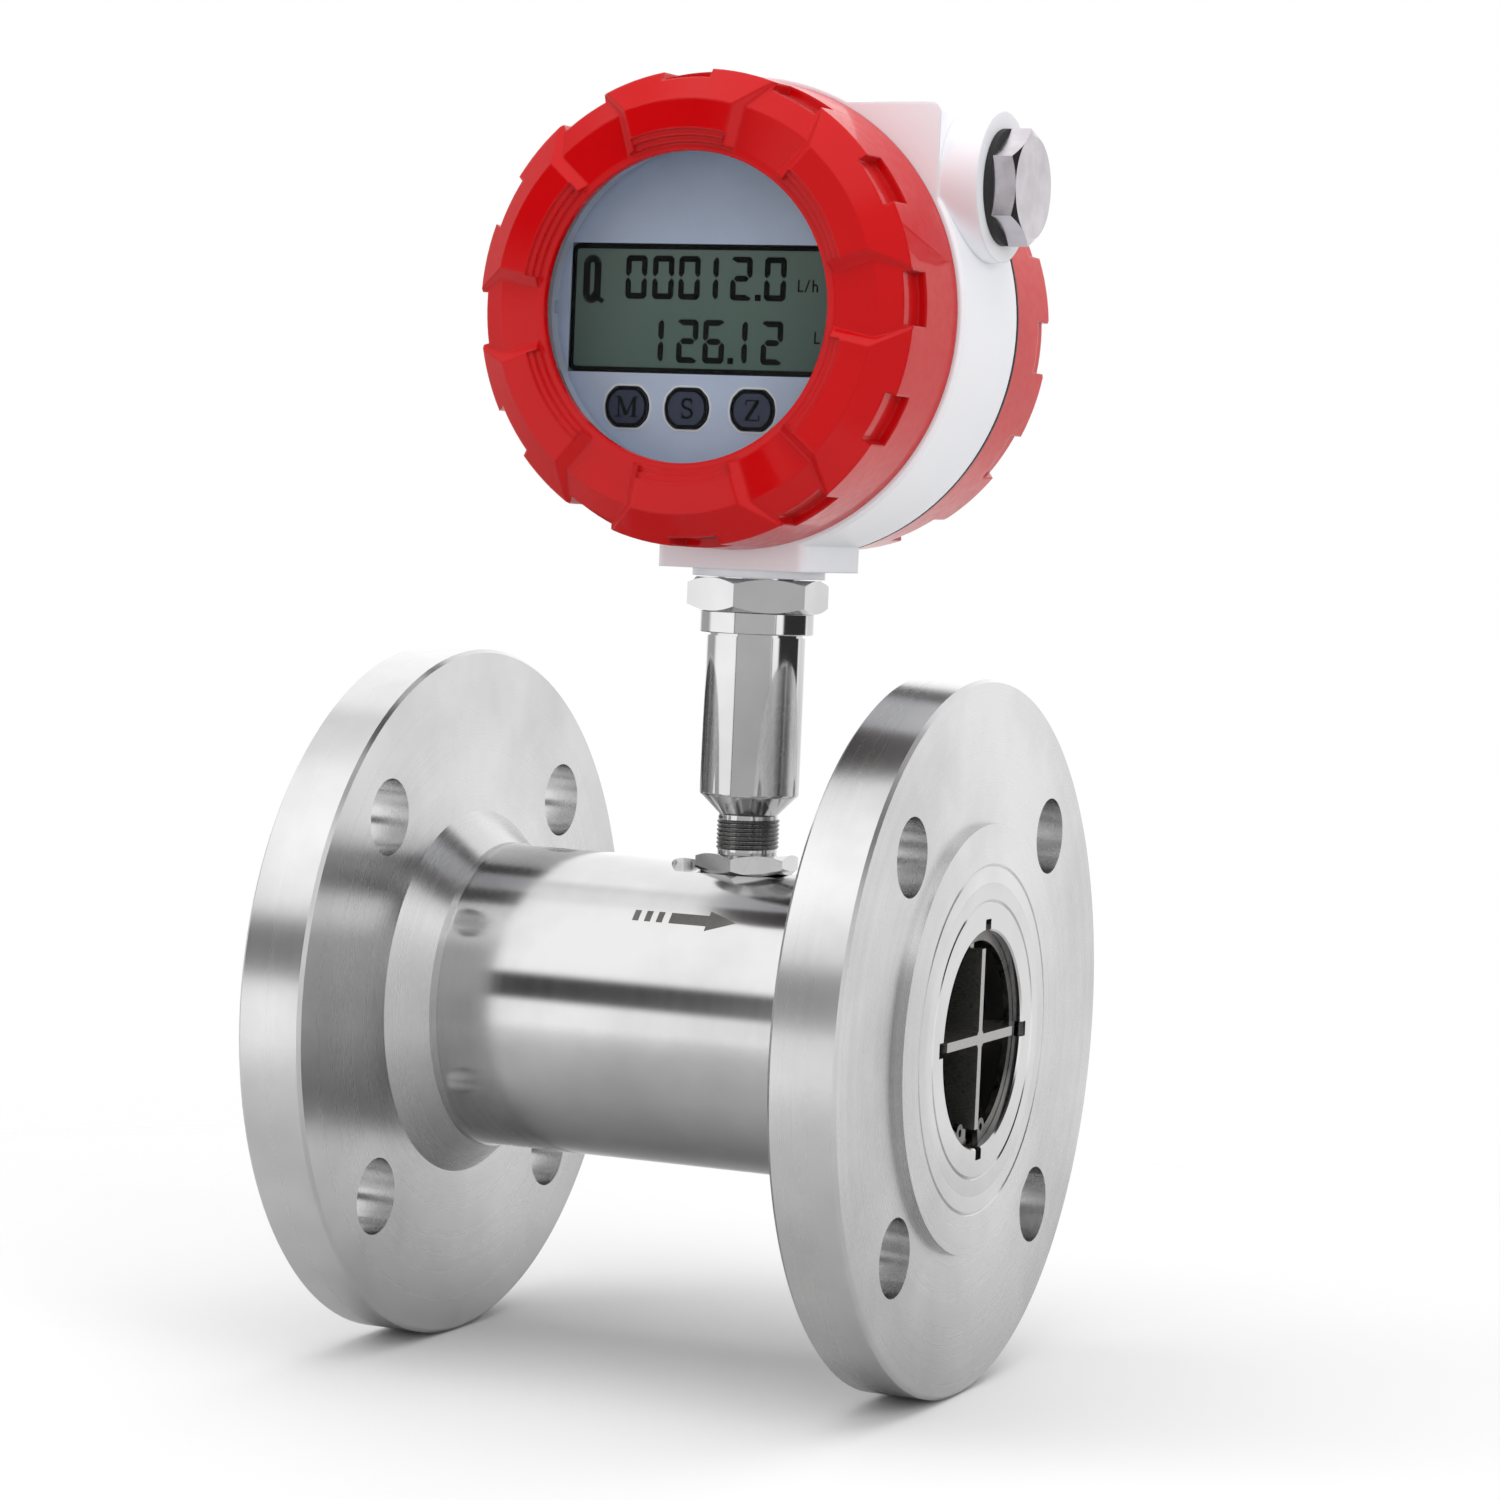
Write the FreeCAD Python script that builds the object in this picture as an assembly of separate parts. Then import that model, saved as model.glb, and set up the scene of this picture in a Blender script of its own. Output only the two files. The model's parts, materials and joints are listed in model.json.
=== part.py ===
import FreeCAD, Part
import math
import os

# Turbine flow meter, DN50, flanged, with a local display head.
# Frame: origin at the centre of the inlet raised face, +X along the flow,
# -Y out of the display, +Z up the stem. Millimetres.

# ---- flanged pipe -----------------------------------------------------------
FACE_TO_FACE = 150.0        # outer face to outer face of the two raised faces
FLANGE_R = 82.5
FLANGE_DISC = 16.0          # disc thickness without the raised face
FLANGE_EDGE = 0.8           # chamfer on the disc rims
RAISED_R = 49.5
RAISED_H = 2.0
SEAL_GROOVE_OUT = 4.0       # turned line on the raised face, outside the tube
TUBE_LINE_IN = 4.2          # turned line on the end of the tube, inside its surface
LINE_DEPTH = 0.4
BOLT_CIRCLE_R = 62.5
BOLT_HOLE_R = 9.0
BOLT_COUNT = 4
HUB_RISE = 7.6              # hub cone above the tube at the disc
HUB_LEN = 8.0
HUB_STEP = 0.5              # hub tip above the tube
HUB_LAND = 1.8              # short cylinder at the tip of the hub
TUBE_R = 36.0
BORE_R = 25.0
MOUTH_CHAMFER = 0.4

# ---- straighteners and snap rings -------------------------------------------
VANE_COUNT = 4
VANE_T = 2.2
VANE_INSET = 0.8            # front edge behind the raised face
VANE_CORE_R = 2.2           # fillet core where the vanes cross
VANE_GAP = 0.2              # vane tip to bore
KEY_DEPTH = 2.7             # keyway depth beyond the bore
KEY_W = 3.2
KEY_LEN = 14.0
KEY_GAP = 0.15
RING_T = 1.4                # snap ring
RING_INSET = 2.2
RING_REACH = 2.4            # inward of the bore
RING_GROOVE = 1.2           # depth of its groove
RING_GAP_ANGLE = 24.0       # open part of the ring, degrees
RING_LUG_R = 2.1
RING_EYE_R = 0.9
RING_FIT = 0.1
HUB_R = 9.0                 # straightener and rotor hub
NOSE_X = 16.0               # hub nose behind the raised face
NOSE_LEN = 16.0
NOSE_STEPS = 6              # straight runs in the rounded nose
VANE_SETBACK = 8.0          # vanes end before the hub does
VANE_CORNER_GAP = 1.8       # vane corner inside the snap ring

# ---- rotor ------------------------------------------------------------------
ROTOR_LEN = 16.0
BLADE_COUNT = 8
BLADE_TIP_GAP = 0.6
BLADE_LEAD = 165.0          # axial advance of a blade in one turn
BLADE_ROOT_T = 2.2
BLADE_TIP_T = 1.2
BLADE_SECTIONS = 5
BLADE_ROOT_IN = 1.8         # blade sunk in the hub
BLADE_TIP_OVER = 1.2        # blade lofted past its tip, then trimmed round
SHAFT_R = 2.0
SHAFT_END_GAP = 0.6
RUNNING_FIT = 0.04          # shaft in its bushes, radial
BUSH_R = 4.5
BUSH_LEN = 9.0
WASHER_T = 0.8
WASHER_R = 6.0
AXIAL_PLAY = 0.25

# ---- stem and pickup --------------------------------------------------------
STEM_OFFSET = 14.0          # stem axis downstream of mid length
SPOT_DEPTH = 2.0            # flat milled on the tube under the lock nut
SPOT_R = 17.5
SENSOR_WALL = 3.0           # metal left between pickup and bore
THREAD_R = 7.0
THREAD_SHOWN = 8.9          # thread above the lock nut
LOCK_NUT_AF = 21.3
LOCK_NUT_H = 4.6
STEM_R = 11.8
STEM_CONE = 4.8
STEM_LEN = 37.0             # cylinder between cone and collar
STEM_SOFT = 0.8             # rounding at the foot of the cylinder
COIL_WALL = 1.8
SENSOR_GAP = 0.3
COLLAR_R = 13.6
COLLAR_H = 5.7
COLLAR_GROOVE = 0.6
COLLAR_SOFT = 0.3           # rounding of the collar
UNION_AF = 29.0
UNION_H = 7.7
UNION_TURN = 34.0           # direction of one corner, degrees
LOCK_NUT_TURN = 36.0
SPIGOT_R = 9.8              # top of the stem inside the head
SPIGOT_WALL = 2.3
SPIGOT_FIT = 0.1
SWIVEL_GAP = 0.3
CIRCLIP_T = 1.4
CIRCLIP_REACH = 2.6
STEM_TOP_LIP = 2.0
CORE_R = 2.0                # magnetic pole piece
COIL_LEN = 15.0
COIL_GAP = 0.2
MAGNET_H = 10.0
PREAMP_T = 1.6
PREAMP_H = 24.0

# ---- head housing -----------------------------------------------------------
HEAD_R = 55.0
HEAD_HALF = 17.2            # half depth of the white body
HEAD_EDGE = 0.8
HEAD_FLOOR_DROP = 3.0       # boss underside below the round body
BOSS_HALF_X = 18.5
BOSS_ROUND = 2.0
NECK_R = 15.5
NECK_H = 1.8
CAVITY_R = 43.5
FLOOR_DROP = 0.5            # flat floor over the neck, below the round cavity
WEB_T = 3.0
WEB_F = 13.2                # rear face of the partition, toward the front
SPIGOT_LEN = 13.0           # cover threads
COVER_THREAD_R = 48.0
ENTRY_Z = 31.0              # cable entry axis above the head axis
ENTRY_BOSS_R = 17.0
ENTRY_FACE_X = 56.5
ENTRY_BLOCK_X = 47.3
ENTRY_BLOCK_MARGIN = 0.5    # block above the round boss
ENTRY_BORE_R = 10.0
ENTRY_ROUND = 2.5
WIRE_HOLE_R = 5.0

# ---- covers -----------------------------------------------------------------
COVER_R = 53.5
COVER_TAPER = 0.4           # skirt narrower at its front
COVER_SKIRT = 25.6          # rear edge to the front corner of the lugs
COVER_DEPTH = 32.4          # rear edge to the top of the grip pads
COVER_GAP = 0.25            # front cover to body
SEAL_GAP = 0.8              # rear cover to body, filled by the flat seal
THREAD_GAP = 0.3            # radial, cover thread over body thread
LUG_COUNT = 12
NOTCH_ANGLE = 13.0
NOTCH_DEPTH = 2.4
NOTCH_LEN = 7.5
COVER_TURN = 3.5            # where the screwed cover comes to rest
PAD_COUNT = 6
TROUGH_W_IN = 10.7          # trough floor at the window
TROUGH_W_OUT = 13.0         # trough floor at the rim
TROUGH_DEPTH = 2.2
TROUGH_DRAFT = 2.4          # extra half width at the top of a trough
WINDOW_R = 34.6
WINDOW_LIP = 1.8
PAD_STEP = 1.4              # width of each ridge beside the window
PAD_STEP_H = 0.75
PAD_CROWN_R = 46.0
PAD_CROWN_DROP = 0.7
POCKET_ANGLE = 34.0         # stepped recess beside the window, in each pad
GLASS_R = 39.0
GLASS_T = 5.0
GLASS_FIT = 0.3
GASKET_T = 0.8
GASKET_IN_R = 35.4
RETAINER_R = 41.5
RETAINER_IN_R = 36.6
RETAINER_T = 3.0
FRONT_WALL = 1.9            # metal in front of the gasket
REAR_WALL = 4.0
SEAL_T = 1.6
SEAL_W = 2.2
SEAL_CLEAR = 0.08           # seals and washers off the faces they close on

# ---- display ----------------------------------------------------------------
PLATE_R = 40.5
PLATE_T = 1.5
PLATE_GAP = 4.0             # glass to face plate
PLATE_WALL = 2.0
STACK_DEPTH = 6.0           # face plate front to board front
LCD_HALF_X = 33.8
LCD_TOP = 14.6
LCD_BOTTOM = -14.2
LCD_INSET = 0.3
LCD_FIT = 0.2
KEY_XS = {"key_m": -18.5, "key_s": -3.6, "key_z": 12.6}
KEY_Z = -22.1
KEYCAP_W = 9.4
KEYCAP_H = 8.8
KEYCAP_BULGE = 0.7
KEYCAP_CORNER = 1.9
KEYCAP_SOFT = 2.2           # rounding of each corner
KEYCAP_PROUD = 0.4
KEYCAP_FIT = 0.3
KEY_TRAVEL = 0.5
KEY_FREE = 0.15
SWITCH_SIZE = 6.0
SWITCH_H = 2.6
SWITCH_BODY_H = 1.6         # without its stem
SWITCH_STEM_R = 1.7
BOARD_T = 1.6
BOARD_FIT = 0.4
POST_COUNT = 3
POST_R = 2.8
POST_CIRCLE_R = 35.0
POST_FIRST_ANGLE = -90.0
SCREW_R = 1.5
SCREW_HEAD_R = 2.7
SCREW_HEAD_H = 1.8
SCREW_LEN = 8.0

# ---- rear chamber -----------------------------------------------------------
TERMINAL_LEN = 46.0
TERMINAL_H = 13.0
TERMINAL_D = 11.0
TERMINAL_Z = -14.0
TERMINAL_COUNT = 5
TERMINAL_SCREW_R = 2.4
TERMINAL_SLOT_D = 0.8
CELL_R = 7.2
CELL_LEN = 46.0
CELL_Z = 12.0
CELL_WALL = 1.6
GROUND_X = 30.0
GROUND_SCREW_R = 3.6

# ---- entry plug -------------------------------------------------------------
PLUG_AF = 23.0
PLUG_HEAD = 5.6
PLUG_THREAD_LEN = 11.0
PLUG_FIT = 0.3
PLUG_WALL = 2.9
PLUG_TURN = 3.0
PLUG_WASHER_R = 13.2
PLUG_WASHER_T = 1.5

# ---- places that follow from the sizes --------------------------------------
V = FreeCAD.Vector
X_AXIS = V(1, 0, 0)
Y_AXIS = V(0, 1, 0)
Z_AXIS = V(0, 0, 1)
MID_X = FACE_TO_FACE / 2
STEM_X = MID_X + STEM_OFFSET
SPOT_Z = TUBE_R - SPOT_DEPTH
SEAL_GROOVE_R = TUBE_R + SEAL_GROOVE_OUT
TUBE_LINE_R = TUBE_R - TUBE_LINE_IN
STEM_FOOT_Z = BORE_R + SENSOR_WALL
LOCK_NUT_TOP = SPOT_Z + LOCK_NUT_H
CONE_Z = LOCK_NUT_TOP + THREAD_SHOWN
STEM_Z = CONE_Z + STEM_CONE
COLLAR_Z = STEM_Z + STEM_LEN
UNION_Z = COLLAR_Z + COLLAR_H
UNION_TOP = UNION_Z + UNION_H
NECK_Z = UNION_TOP + SWIVEL_GAP
BOSS_Z = NECK_Z + NECK_H
HEAD_Z = BOSS_Z + HEAD_FLOOR_DROP + HEAD_R
FLOOR_Z = HEAD_Z - CAVITY_R - FLOOR_DROP
CIRCLIP_Z = FLOOR_Z + SWIVEL_GAP
STEM_TOP_Z = CIRCLIP_Z + CIRCLIP_T + STEM_TOP_LIP
ROTOR_X0 = STEM_X - ROTOR_LEN / 2
ROTOR_X1 = STEM_X + ROTOR_LEN / 2
BLADE_TIP_R = BORE_R - BLADE_TIP_GAP
RING_IN_R = BORE_R - RING_REACH
RING_GROOVE_R = BORE_R + RING_GROOVE
VANE_CORNER_R = RING_IN_R - VANE_CORNER_GAP
KEY_X0 = RING_INSET + RING_T + 2 * RING_FIT
INLET_HUB_END = ROTOR_X0 - AXIAL_PLAY - WASHER_T
OUTLET_HUB_START = ROTOR_X1 + AXIAL_PLAY + WASHER_T
COIL_BORE_R = THREAD_R - COIL_WALL
STEM_BORE_R = SPIGOT_R - SPIGOT_WALL
CIRCLIP_IN_R = SPIGOT_R - SPIGOT_WALL / 4
MAGNET_Z = STEM_Z + STEM_CONE / 4
HEAD_CENTRE = V(STEM_X, 0, HEAD_Z)
ENTRY_BLOCK_TOP = ENTRY_Z + ENTRY_BOSS_R + ENTRY_BLOCK_MARGIN
COVER_FACE = HEAD_HALF + COVER_GAP
COVER_SHOULDER = HEAD_HALF + SPIGOT_LEN + THREAD_GAP * 3
LIP_R = WINDOW_R + WINDOW_LIP
GASKET_FRONT = COVER_FACE + COVER_DEPTH - 3 * PAD_STEP_H - FRONT_WALL
GLASS_FRONT = GASKET_FRONT - GASKET_T
GLASS_BACK = GLASS_FRONT - GLASS_T
PLATE_FRONT = GLASS_BACK - PLATE_GAP
BOARD_FRONT = PLATE_FRONT - STACK_DEPTH
KEY_FOOT = BOARD_FRONT + SWITCH_H + KEY_TRAVEL + KEY_FREE


# ---- helpers ----------------------------------------------------------------
def profile_face(points, place):
    """Closed flat outline; a point may carry a corner radius as third value."""
    count = len(points)
    edges = []
    starts = []
    ends = []
    for i in range(count):
        here = V(points[i][0], points[i][1], 0)
        radius = points[i][2] if len(points[i]) > 2 else 0.0
        before = V(points[i - 1][0], points[i - 1][1], 0) - here
        after = V(points[(i + 1) % count][0], points[(i + 1) % count][1], 0) - here
        if radius > 0:
            half = before.getAngle(after) / 2
            back = radius / math.tan(half)
            first = here + before.normalize() * back
            last = here + after.normalize() * back
            toward = (before + after).normalize()
            middle = here + toward * (radius / math.sin(half) - radius)
            edges.append(Part.Arc(place(first), place(middle), place(last)).toShape())
            starts.append(first)
            ends.append(last)
        else:
            edges.append(None)
            starts.append(here)
            ends.append(here)
    chain = []
    for i in range(count):
        if edges[i] is not None:
            chain.append(edges[i])
        start = ends[i]
        end = starts[(i + 1) % count]
        if start.distanceToPoint(end) > 1e-6:
            chain.append(Part.LineSegment(place(start), place(end)).toShape())
    return Part.Face(Part.Wire(Part.__sortEdges__(chain)))


def turned_x(points, angle=360.0):
    """Revolve (x, radius) about the pipe axis."""
    face = profile_face(points, lambda p: V(p.x, 0, p.y))
    return face.revolve(V(0, 0, 0), X_AXIS, angle)


def turned_stem(points, angle=360.0):
    """Revolve (radius, z) about the stem axis."""
    face = profile_face(points, lambda p: V(STEM_X + p.x, 0, p.y))
    return face.revolve(V(STEM_X, 0, 0), Z_AXIS, angle)


def turned_head(points, angle=360.0):
    """Revolve (radius, distance toward the front) about the head axis."""
    face = profile_face(points, lambda p: HEAD_CENTRE + V(p.x, -p.y, 0))
    return face.revolve(HEAD_CENTRE, Y_AXIS, angle)


def pipe_disc(x, length, radius):
    return Part.makeCylinder(radius, length, V(x, 0, 0), X_AXIS)


def head_disc(front, depth, radius, x=0.0, z=0.0):
    """Cylinder on the head whose front face lies this far toward the front."""
    return Part.makeCylinder(radius, depth, HEAD_CENTRE + V(x, -front, z), Y_AXIS)


def head_box(x0, x1, front, depth, z0, z1):
    return Part.makeBox(x1 - x0, depth, z1 - z0, HEAD_CENTRE + V(x0, -front, z0))


def stem_disc(z, height, radius):
    return Part.makeCylinder(radius, height, V(STEM_X, 0, z))


def around_pipe(shape, angle):
    copy = shape.copy()
    copy.rotate(V(0, 0, 0), X_AXIS, angle)
    return copy


def around_head(shape, angle):
    copy = shape.copy()
    copy.rotate(HEAD_CENTRE, Y_AXIS, -angle)
    return copy


def to_outlet(shape):
    return shape.mirror(V(MID_X, 0, 0), X_AXIS)


def hexagon(across_flats, height, turn, chamfered_foot):
    """Hexagonal prism on the XY plane with its corners turned off."""
    corner_r = across_flats / math.sqrt(3)
    drop = (corner_r - across_flats / 2) * math.tan(math.radians(30))
    corners = []
    for k in range(7):
        angle = math.radians(turn + 60 * k)
        corners.append(V(corner_r * math.cos(angle), corner_r * math.sin(angle), 0))
    prism = Part.Face(Part.makePolygon(corners)).extrude(V(0, 0, height))
    face_r = across_flats / 2
    foot_r = face_r if chamfered_foot else corner_r
    foot_rise = drop if chamfered_foot else 0.0
    outline = [(0, 0), (foot_r, 0), (corner_r, foot_rise), (corner_r, height - drop), (face_r, height)]
    if not chamfered_foot:
        outline.remove((corner_r, foot_rise))
    outline.append((0, height))
    blank = profile_face(outline, lambda p: V(p.x, 0, p.y)).revolve(V(0, 0, 0), Z_AXIS, 360)
    return prism.common(blank)


def stem_nut(across_flats, z, height, bore_r, turn):
    nut = hexagon(across_flats, height, turn, True).cut(Part.makeCylinder(bore_r, height))
    nut.translate(V(STEM_X, 0, z))
    return nut


def save(node, shape):
    """Write one node, refined to single faces and checked."""
    clean = shape.removeSplitter()
    if not clean.isValid() or clean.Volume <= 0:
        raise ValueError("bad solid: " + node)
    clean.exportStep("parts/" + node + ".step")


def group(shapes):
    return Part.makeCompound(shapes)


# ---- pipe -------------------------------------------------------------------
def body_tube():
    mouth = BORE_R + MOUTH_CHAMFER
    line = LINE_DEPTH
    wall = [
        (0, mouth), (0, TUBE_LINE_R - line), (line, TUBE_LINE_R), (0, TUBE_LINE_R + line), (0, TUBE_R),
        (FACE_TO_FACE, TUBE_R), (FACE_TO_FACE, TUBE_LINE_R + line), (FACE_TO_FACE - line, TUBE_LINE_R),
        (FACE_TO_FACE, TUBE_LINE_R - line), (FACE_TO_FACE, mouth),
        (FACE_TO_FACE - MOUTH_CHAMFER, BORE_R), (MOUTH_CHAMFER, BORE_R),
    ]
    tube = turned_x(wall)
    groove_x = RING_INSET - RING_FIT
    groove = pipe_disc(groove_x, RING_T + 2 * RING_FIT, RING_GROOVE_R)
    half_slot = KEY_W / 2 + KEY_GAP
    reach = BORE_R + KEY_DEPTH
    slot = Part.makeBox(KEY_X0 + KEY_LEN + KEY_GAP, 2 * half_slot, reach, V(0, -half_slot, 0))
    slot = slot.common(pipe_disc(0, FACE_TO_FACE, reach))
    cuts = [groove]
    for k in range(VANE_COUNT):
        cuts.append(around_pipe(slot, 360.0 / VANE_COUNT * k))
    ends = cuts + [to_outlet(cut) for cut in cuts]
    spot = stem_disc(SPOT_Z, TUBE_R, SPOT_R)
    well = stem_disc(STEM_FOOT_Z, TUBE_R, THREAD_R)
    return tube.cut(ends + [spot, well])


def inlet_flange():
    disc_end = RAISED_H + FLANGE_DISC
    cone_end = disc_end + HUB_LEN
    tip_r = TUBE_R + HUB_STEP
    edge = FLANGE_EDGE
    line = LINE_DEPTH
    outline = [
        (0, TUBE_R), (0, SEAL_GROOVE_R - line), (line, SEAL_GROOVE_R), (0, SEAL_GROOVE_R + line),
        (0, RAISED_R), (RAISED_H, RAISED_R),
        (RAISED_H, FLANGE_R - edge), (RAISED_H + edge, FLANGE_R),
        (disc_end - edge, FLANGE_R), (disc_end, FLANGE_R - edge),
        (disc_end, TUBE_R + HUB_RISE), (cone_end, tip_r), (cone_end + HUB_LAND, tip_r),
        (cone_end + HUB_LAND, TUBE_R),
    ]
    flange = turned_x(outline)
    hole = Part.makeCylinder(BOLT_HOLE_R, disc_end, V(0, BOLT_CIRCLE_R, 0), X_AXIS)
    holes = []
    for k in range(BOLT_COUNT):
        holes.append(around_pipe(hole, 360.0 / BOLT_COUNT * (k + 0.5)))
    return flange.cut(holes)


# ---- flow straighteners -----------------------------------------------------
def vane(end_x):
    """One radial blade: front corner cut back inside the snap ring, keyed rim behind it."""
    half = VANE_T / 2
    tip_r = BORE_R - VANE_GAP
    outline = [
        V(VANE_INSET, -half, 0), V(VANE_INSET, -half, VANE_CORNER_R), V(KEY_X0, -half, VANE_CORNER_R),
        V(KEY_X0, -half, tip_r), V(end_x, -half, tip_r), V(end_x, -half, 0),
    ]
    outline.append(outline[0])
    plate = Part.Face(Part.makePolygon(outline)).extrude(V(0, VANE_T, 0))
    plate = plate.common(pipe_disc(0, end_x, tip_r))
    key_r = BORE_R + KEY_DEPTH - VANE_GAP
    key_foot = tip_r - 2 * KEY_GAP - VANE_T / 2
    key = Part.makeBox(KEY_LEN, KEY_W, key_r - key_foot, V(KEY_X0, -KEY_W / 2, key_foot))
    key = key.common(pipe_disc(0, end_x, key_r))
    return plate.fuse(key)


def straightener(hub_end):
    """Blades round a bearing hub, built at the inlet; hub_end is its inner face."""
    outline = [(VANE_INSET, 0), (VANE_INSET, VANE_CORE_R), (NOSE_X, VANE_CORE_R)]
    for i in range(1, NOSE_STEPS + 1):
        share = i / NOSE_STEPS
        rise = (HUB_R - VANE_CORE_R) * math.sin(share * math.pi / 2)
        outline.append((NOSE_X + NOSE_LEN * share, VANE_CORE_R + rise))
    bush_x = hub_end - BUSH_LEN
    outline += [(hub_end, HUB_R), (hub_end, BUSH_R), (bush_x, BUSH_R), (bush_x, 0)]
    shape = turned_x(outline)
    blade = vane(hub_end - VANE_SETBACK).cut(pipe_disc(bush_x, BUSH_LEN, BUSH_R))
    blades = []
    for k in range(VANE_COUNT):
        blades.append(around_pipe(blade, 360.0 / VANE_COUNT * k))
    return shape.fuse(blades)


def bush(face_x):
    return pipe_disc(face_x, BUSH_LEN, BUSH_R).cut(pipe_disc(face_x, BUSH_LEN, SHAFT_R + RUNNING_FIT))


def thrust_washer(face_x):
    bore = pipe_disc(face_x, WASHER_T, SHAFT_R + RUNNING_FIT)
    return pipe_disc(face_x, WASHER_T, WASHER_R).cut(bore)


def snap_ring():
    """Internal retaining ring with two eyed lugs beside its gap, which faces down."""
    out_r = RING_GROOVE_R - RING_FIT
    ring = pipe_disc(RING_INSET, RING_T, out_r).cut(pipe_disc(RING_INSET, RING_T, RING_IN_R))
    reach = out_r * 2
    side = reach * math.tan(math.radians(RING_GAP_ANGLE / 2))
    wedge = [V(RING_INSET, 0, 0), V(RING_INSET, side, -reach), V(RING_INSET, -side, -reach)]
    wedge.append(wedge[0])
    ring = ring.cut(Part.Face(Part.makePolygon(wedge)).extrude(V(RING_T, 0, 0)))
    lug_centre_r = RING_IN_R - RING_LUG_R / 4
    lug_angle = RING_GAP_ANGLE / 2 + math.degrees(RING_LUG_R / lug_centre_r)
    for side in (-1, 1):
        centre = V(RING_INSET, 0, -lug_centre_r)
        lug = Part.makeCylinder(RING_LUG_R, RING_T, centre, X_AXIS)
        eye = Part.makeCylinder(RING_EYE_R, RING_T, centre, X_AXIS)
        ring = ring.fuse(around_pipe(lug, side * lug_angle)).cut(around_pipe(eye, side * lug_angle))
    return ring


# ---- rotor ------------------------------------------------------------------
def blade_section(x, turn):
    """Cross-section of a blade at x, thick at the root and thin at the tip."""
    root_r = HUB_R - BLADE_ROOT_IN
    tip_r = BLADE_TIP_R + BLADE_TIP_OVER
    root = BLADE_ROOT_T / 2
    tip = BLADE_TIP_T / 2
    corners = [V(x, -root, root_r), V(x, root, root_r), V(x, tip, tip_r), V(x, -tip, tip_r)]
    corners.append(corners[0])
    wire = Part.makePolygon(corners)
    wire.rotate(V(0, 0, 0), X_AXIS, turn)
    return wire


def rotor():
    """Hub with helical blades, each lofted through turned sections and trimmed at the tip."""
    sections = []
    for i in range(BLADE_SECTIONS):
        along = ROTOR_LEN * i / (BLADE_SECTIONS - 1)
        sections.append(blade_section(ROTOR_X0 + along, 360.0 * along / BLADE_LEAD))
    blade = Part.makeLoft(sections, True, False)
    blade = blade.common(pipe_disc(ROTOR_X0, ROTOR_LEN, BLADE_TIP_R))
    shape = pipe_disc(ROTOR_X0, ROTOR_LEN, HUB_R)
    blades = []
    for k in range(BLADE_COUNT):
        blades.append(around_pipe(blade, 360.0 / BLADE_COUNT * k))
    return shape.fuse(blades).cut(pipe_disc(ROTOR_X0, ROTOR_LEN, SHAFT_R))


def rotor_shaft():
    start = INLET_HUB_END - BUSH_LEN + SHAFT_END_GAP
    end = OUTLET_HUB_START + BUSH_LEN - SHAFT_END_GAP
    tip = SHAFT_R / 2
    outline = [(start, 0), (start, tip), (start + tip, SHAFT_R)]
    outline += [(end - tip, SHAFT_R), (end, tip), (end, 0)]
    return turned_x(outline)


# ---- stem and pickup --------------------------------------------------------
def stem_tube():
    foot = STEM_FOOT_Z + SENSOR_GAP
    bevel = THREAD_R / 10
    groove_r = STEM_R - COLLAR_GROOVE
    outline = [
        (COIL_BORE_R, foot), (THREAD_R - bevel, foot), (THREAD_R, foot + bevel), (THREAD_R, CONE_Z),
        (STEM_R, STEM_Z, STEM_SOFT), (STEM_R, COLLAR_Z), (groove_r, COLLAR_Z),
        (groove_r, COLLAR_Z + COLLAR_GROOVE), (COLLAR_R, COLLAR_Z + COLLAR_GROOVE, COLLAR_SOFT),
        (COLLAR_R, UNION_Z, COLLAR_SOFT), (SPIGOT_R, UNION_Z),
        (SPIGOT_R, CIRCLIP_Z), (CIRCLIP_IN_R, CIRCLIP_Z), (CIRCLIP_IN_R, CIRCLIP_Z + CIRCLIP_T),
        (SPIGOT_R, CIRCLIP_Z + CIRCLIP_T), (SPIGOT_R, STEM_TOP_Z), (STEM_BORE_R, STEM_TOP_Z),
        (STEM_BORE_R, MAGNET_Z), (COIL_BORE_R, MAGNET_Z),
    ]
    return turned_stem(outline)


def stem_circlip():
    out_r = SPIGOT_R + CIRCLIP_REACH
    ring = stem_disc(CIRCLIP_Z, CIRCLIP_T, out_r).cut(stem_disc(CIRCLIP_Z, CIRCLIP_T, CIRCLIP_IN_R))
    gap = Part.makeBox(out_r, SPIGOT_WALL, CIRCLIP_T, V(STEM_X, -SPIGOT_WALL / 2, CIRCLIP_Z))
    return ring.cut(gap)


def pickup_core():
    foot = STEM_FOOT_Z + SENSOR_GAP
    return stem_disc(foot, MAGNET_Z - foot, CORE_R)


def pickup_coil():
    foot = STEM_FOOT_Z + 2 * SENSOR_GAP
    rim = COIL_BORE_R - COIL_GAP
    waist = rim - (rim - CORE_R) / 5
    cheek = COIL_LEN / 12
    outline = [(CORE_R, foot), (rim, foot), (rim, foot + cheek), (waist, foot + cheek),
               (waist, foot + COIL_LEN - cheek), (rim, foot + COIL_LEN - cheek), (rim, foot + COIL_LEN),
               (CORE_R, foot + COIL_LEN)]
    return turned_stem(outline)


def pickup_magnet():
    return stem_disc(MAGNET_Z, MAGNET_H, STEM_BORE_R - COIL_GAP)


def preamp_board():
    half = math.sqrt((STEM_BORE_R - COIL_GAP) ** 2 - (PREAMP_T / 2) ** 2)
    return Part.makeBox(2 * half, PREAMP_T, PREAMP_H, V(STEM_X - half, -PREAMP_T / 2, MAGNET_Z + MAGNET_H))


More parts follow.
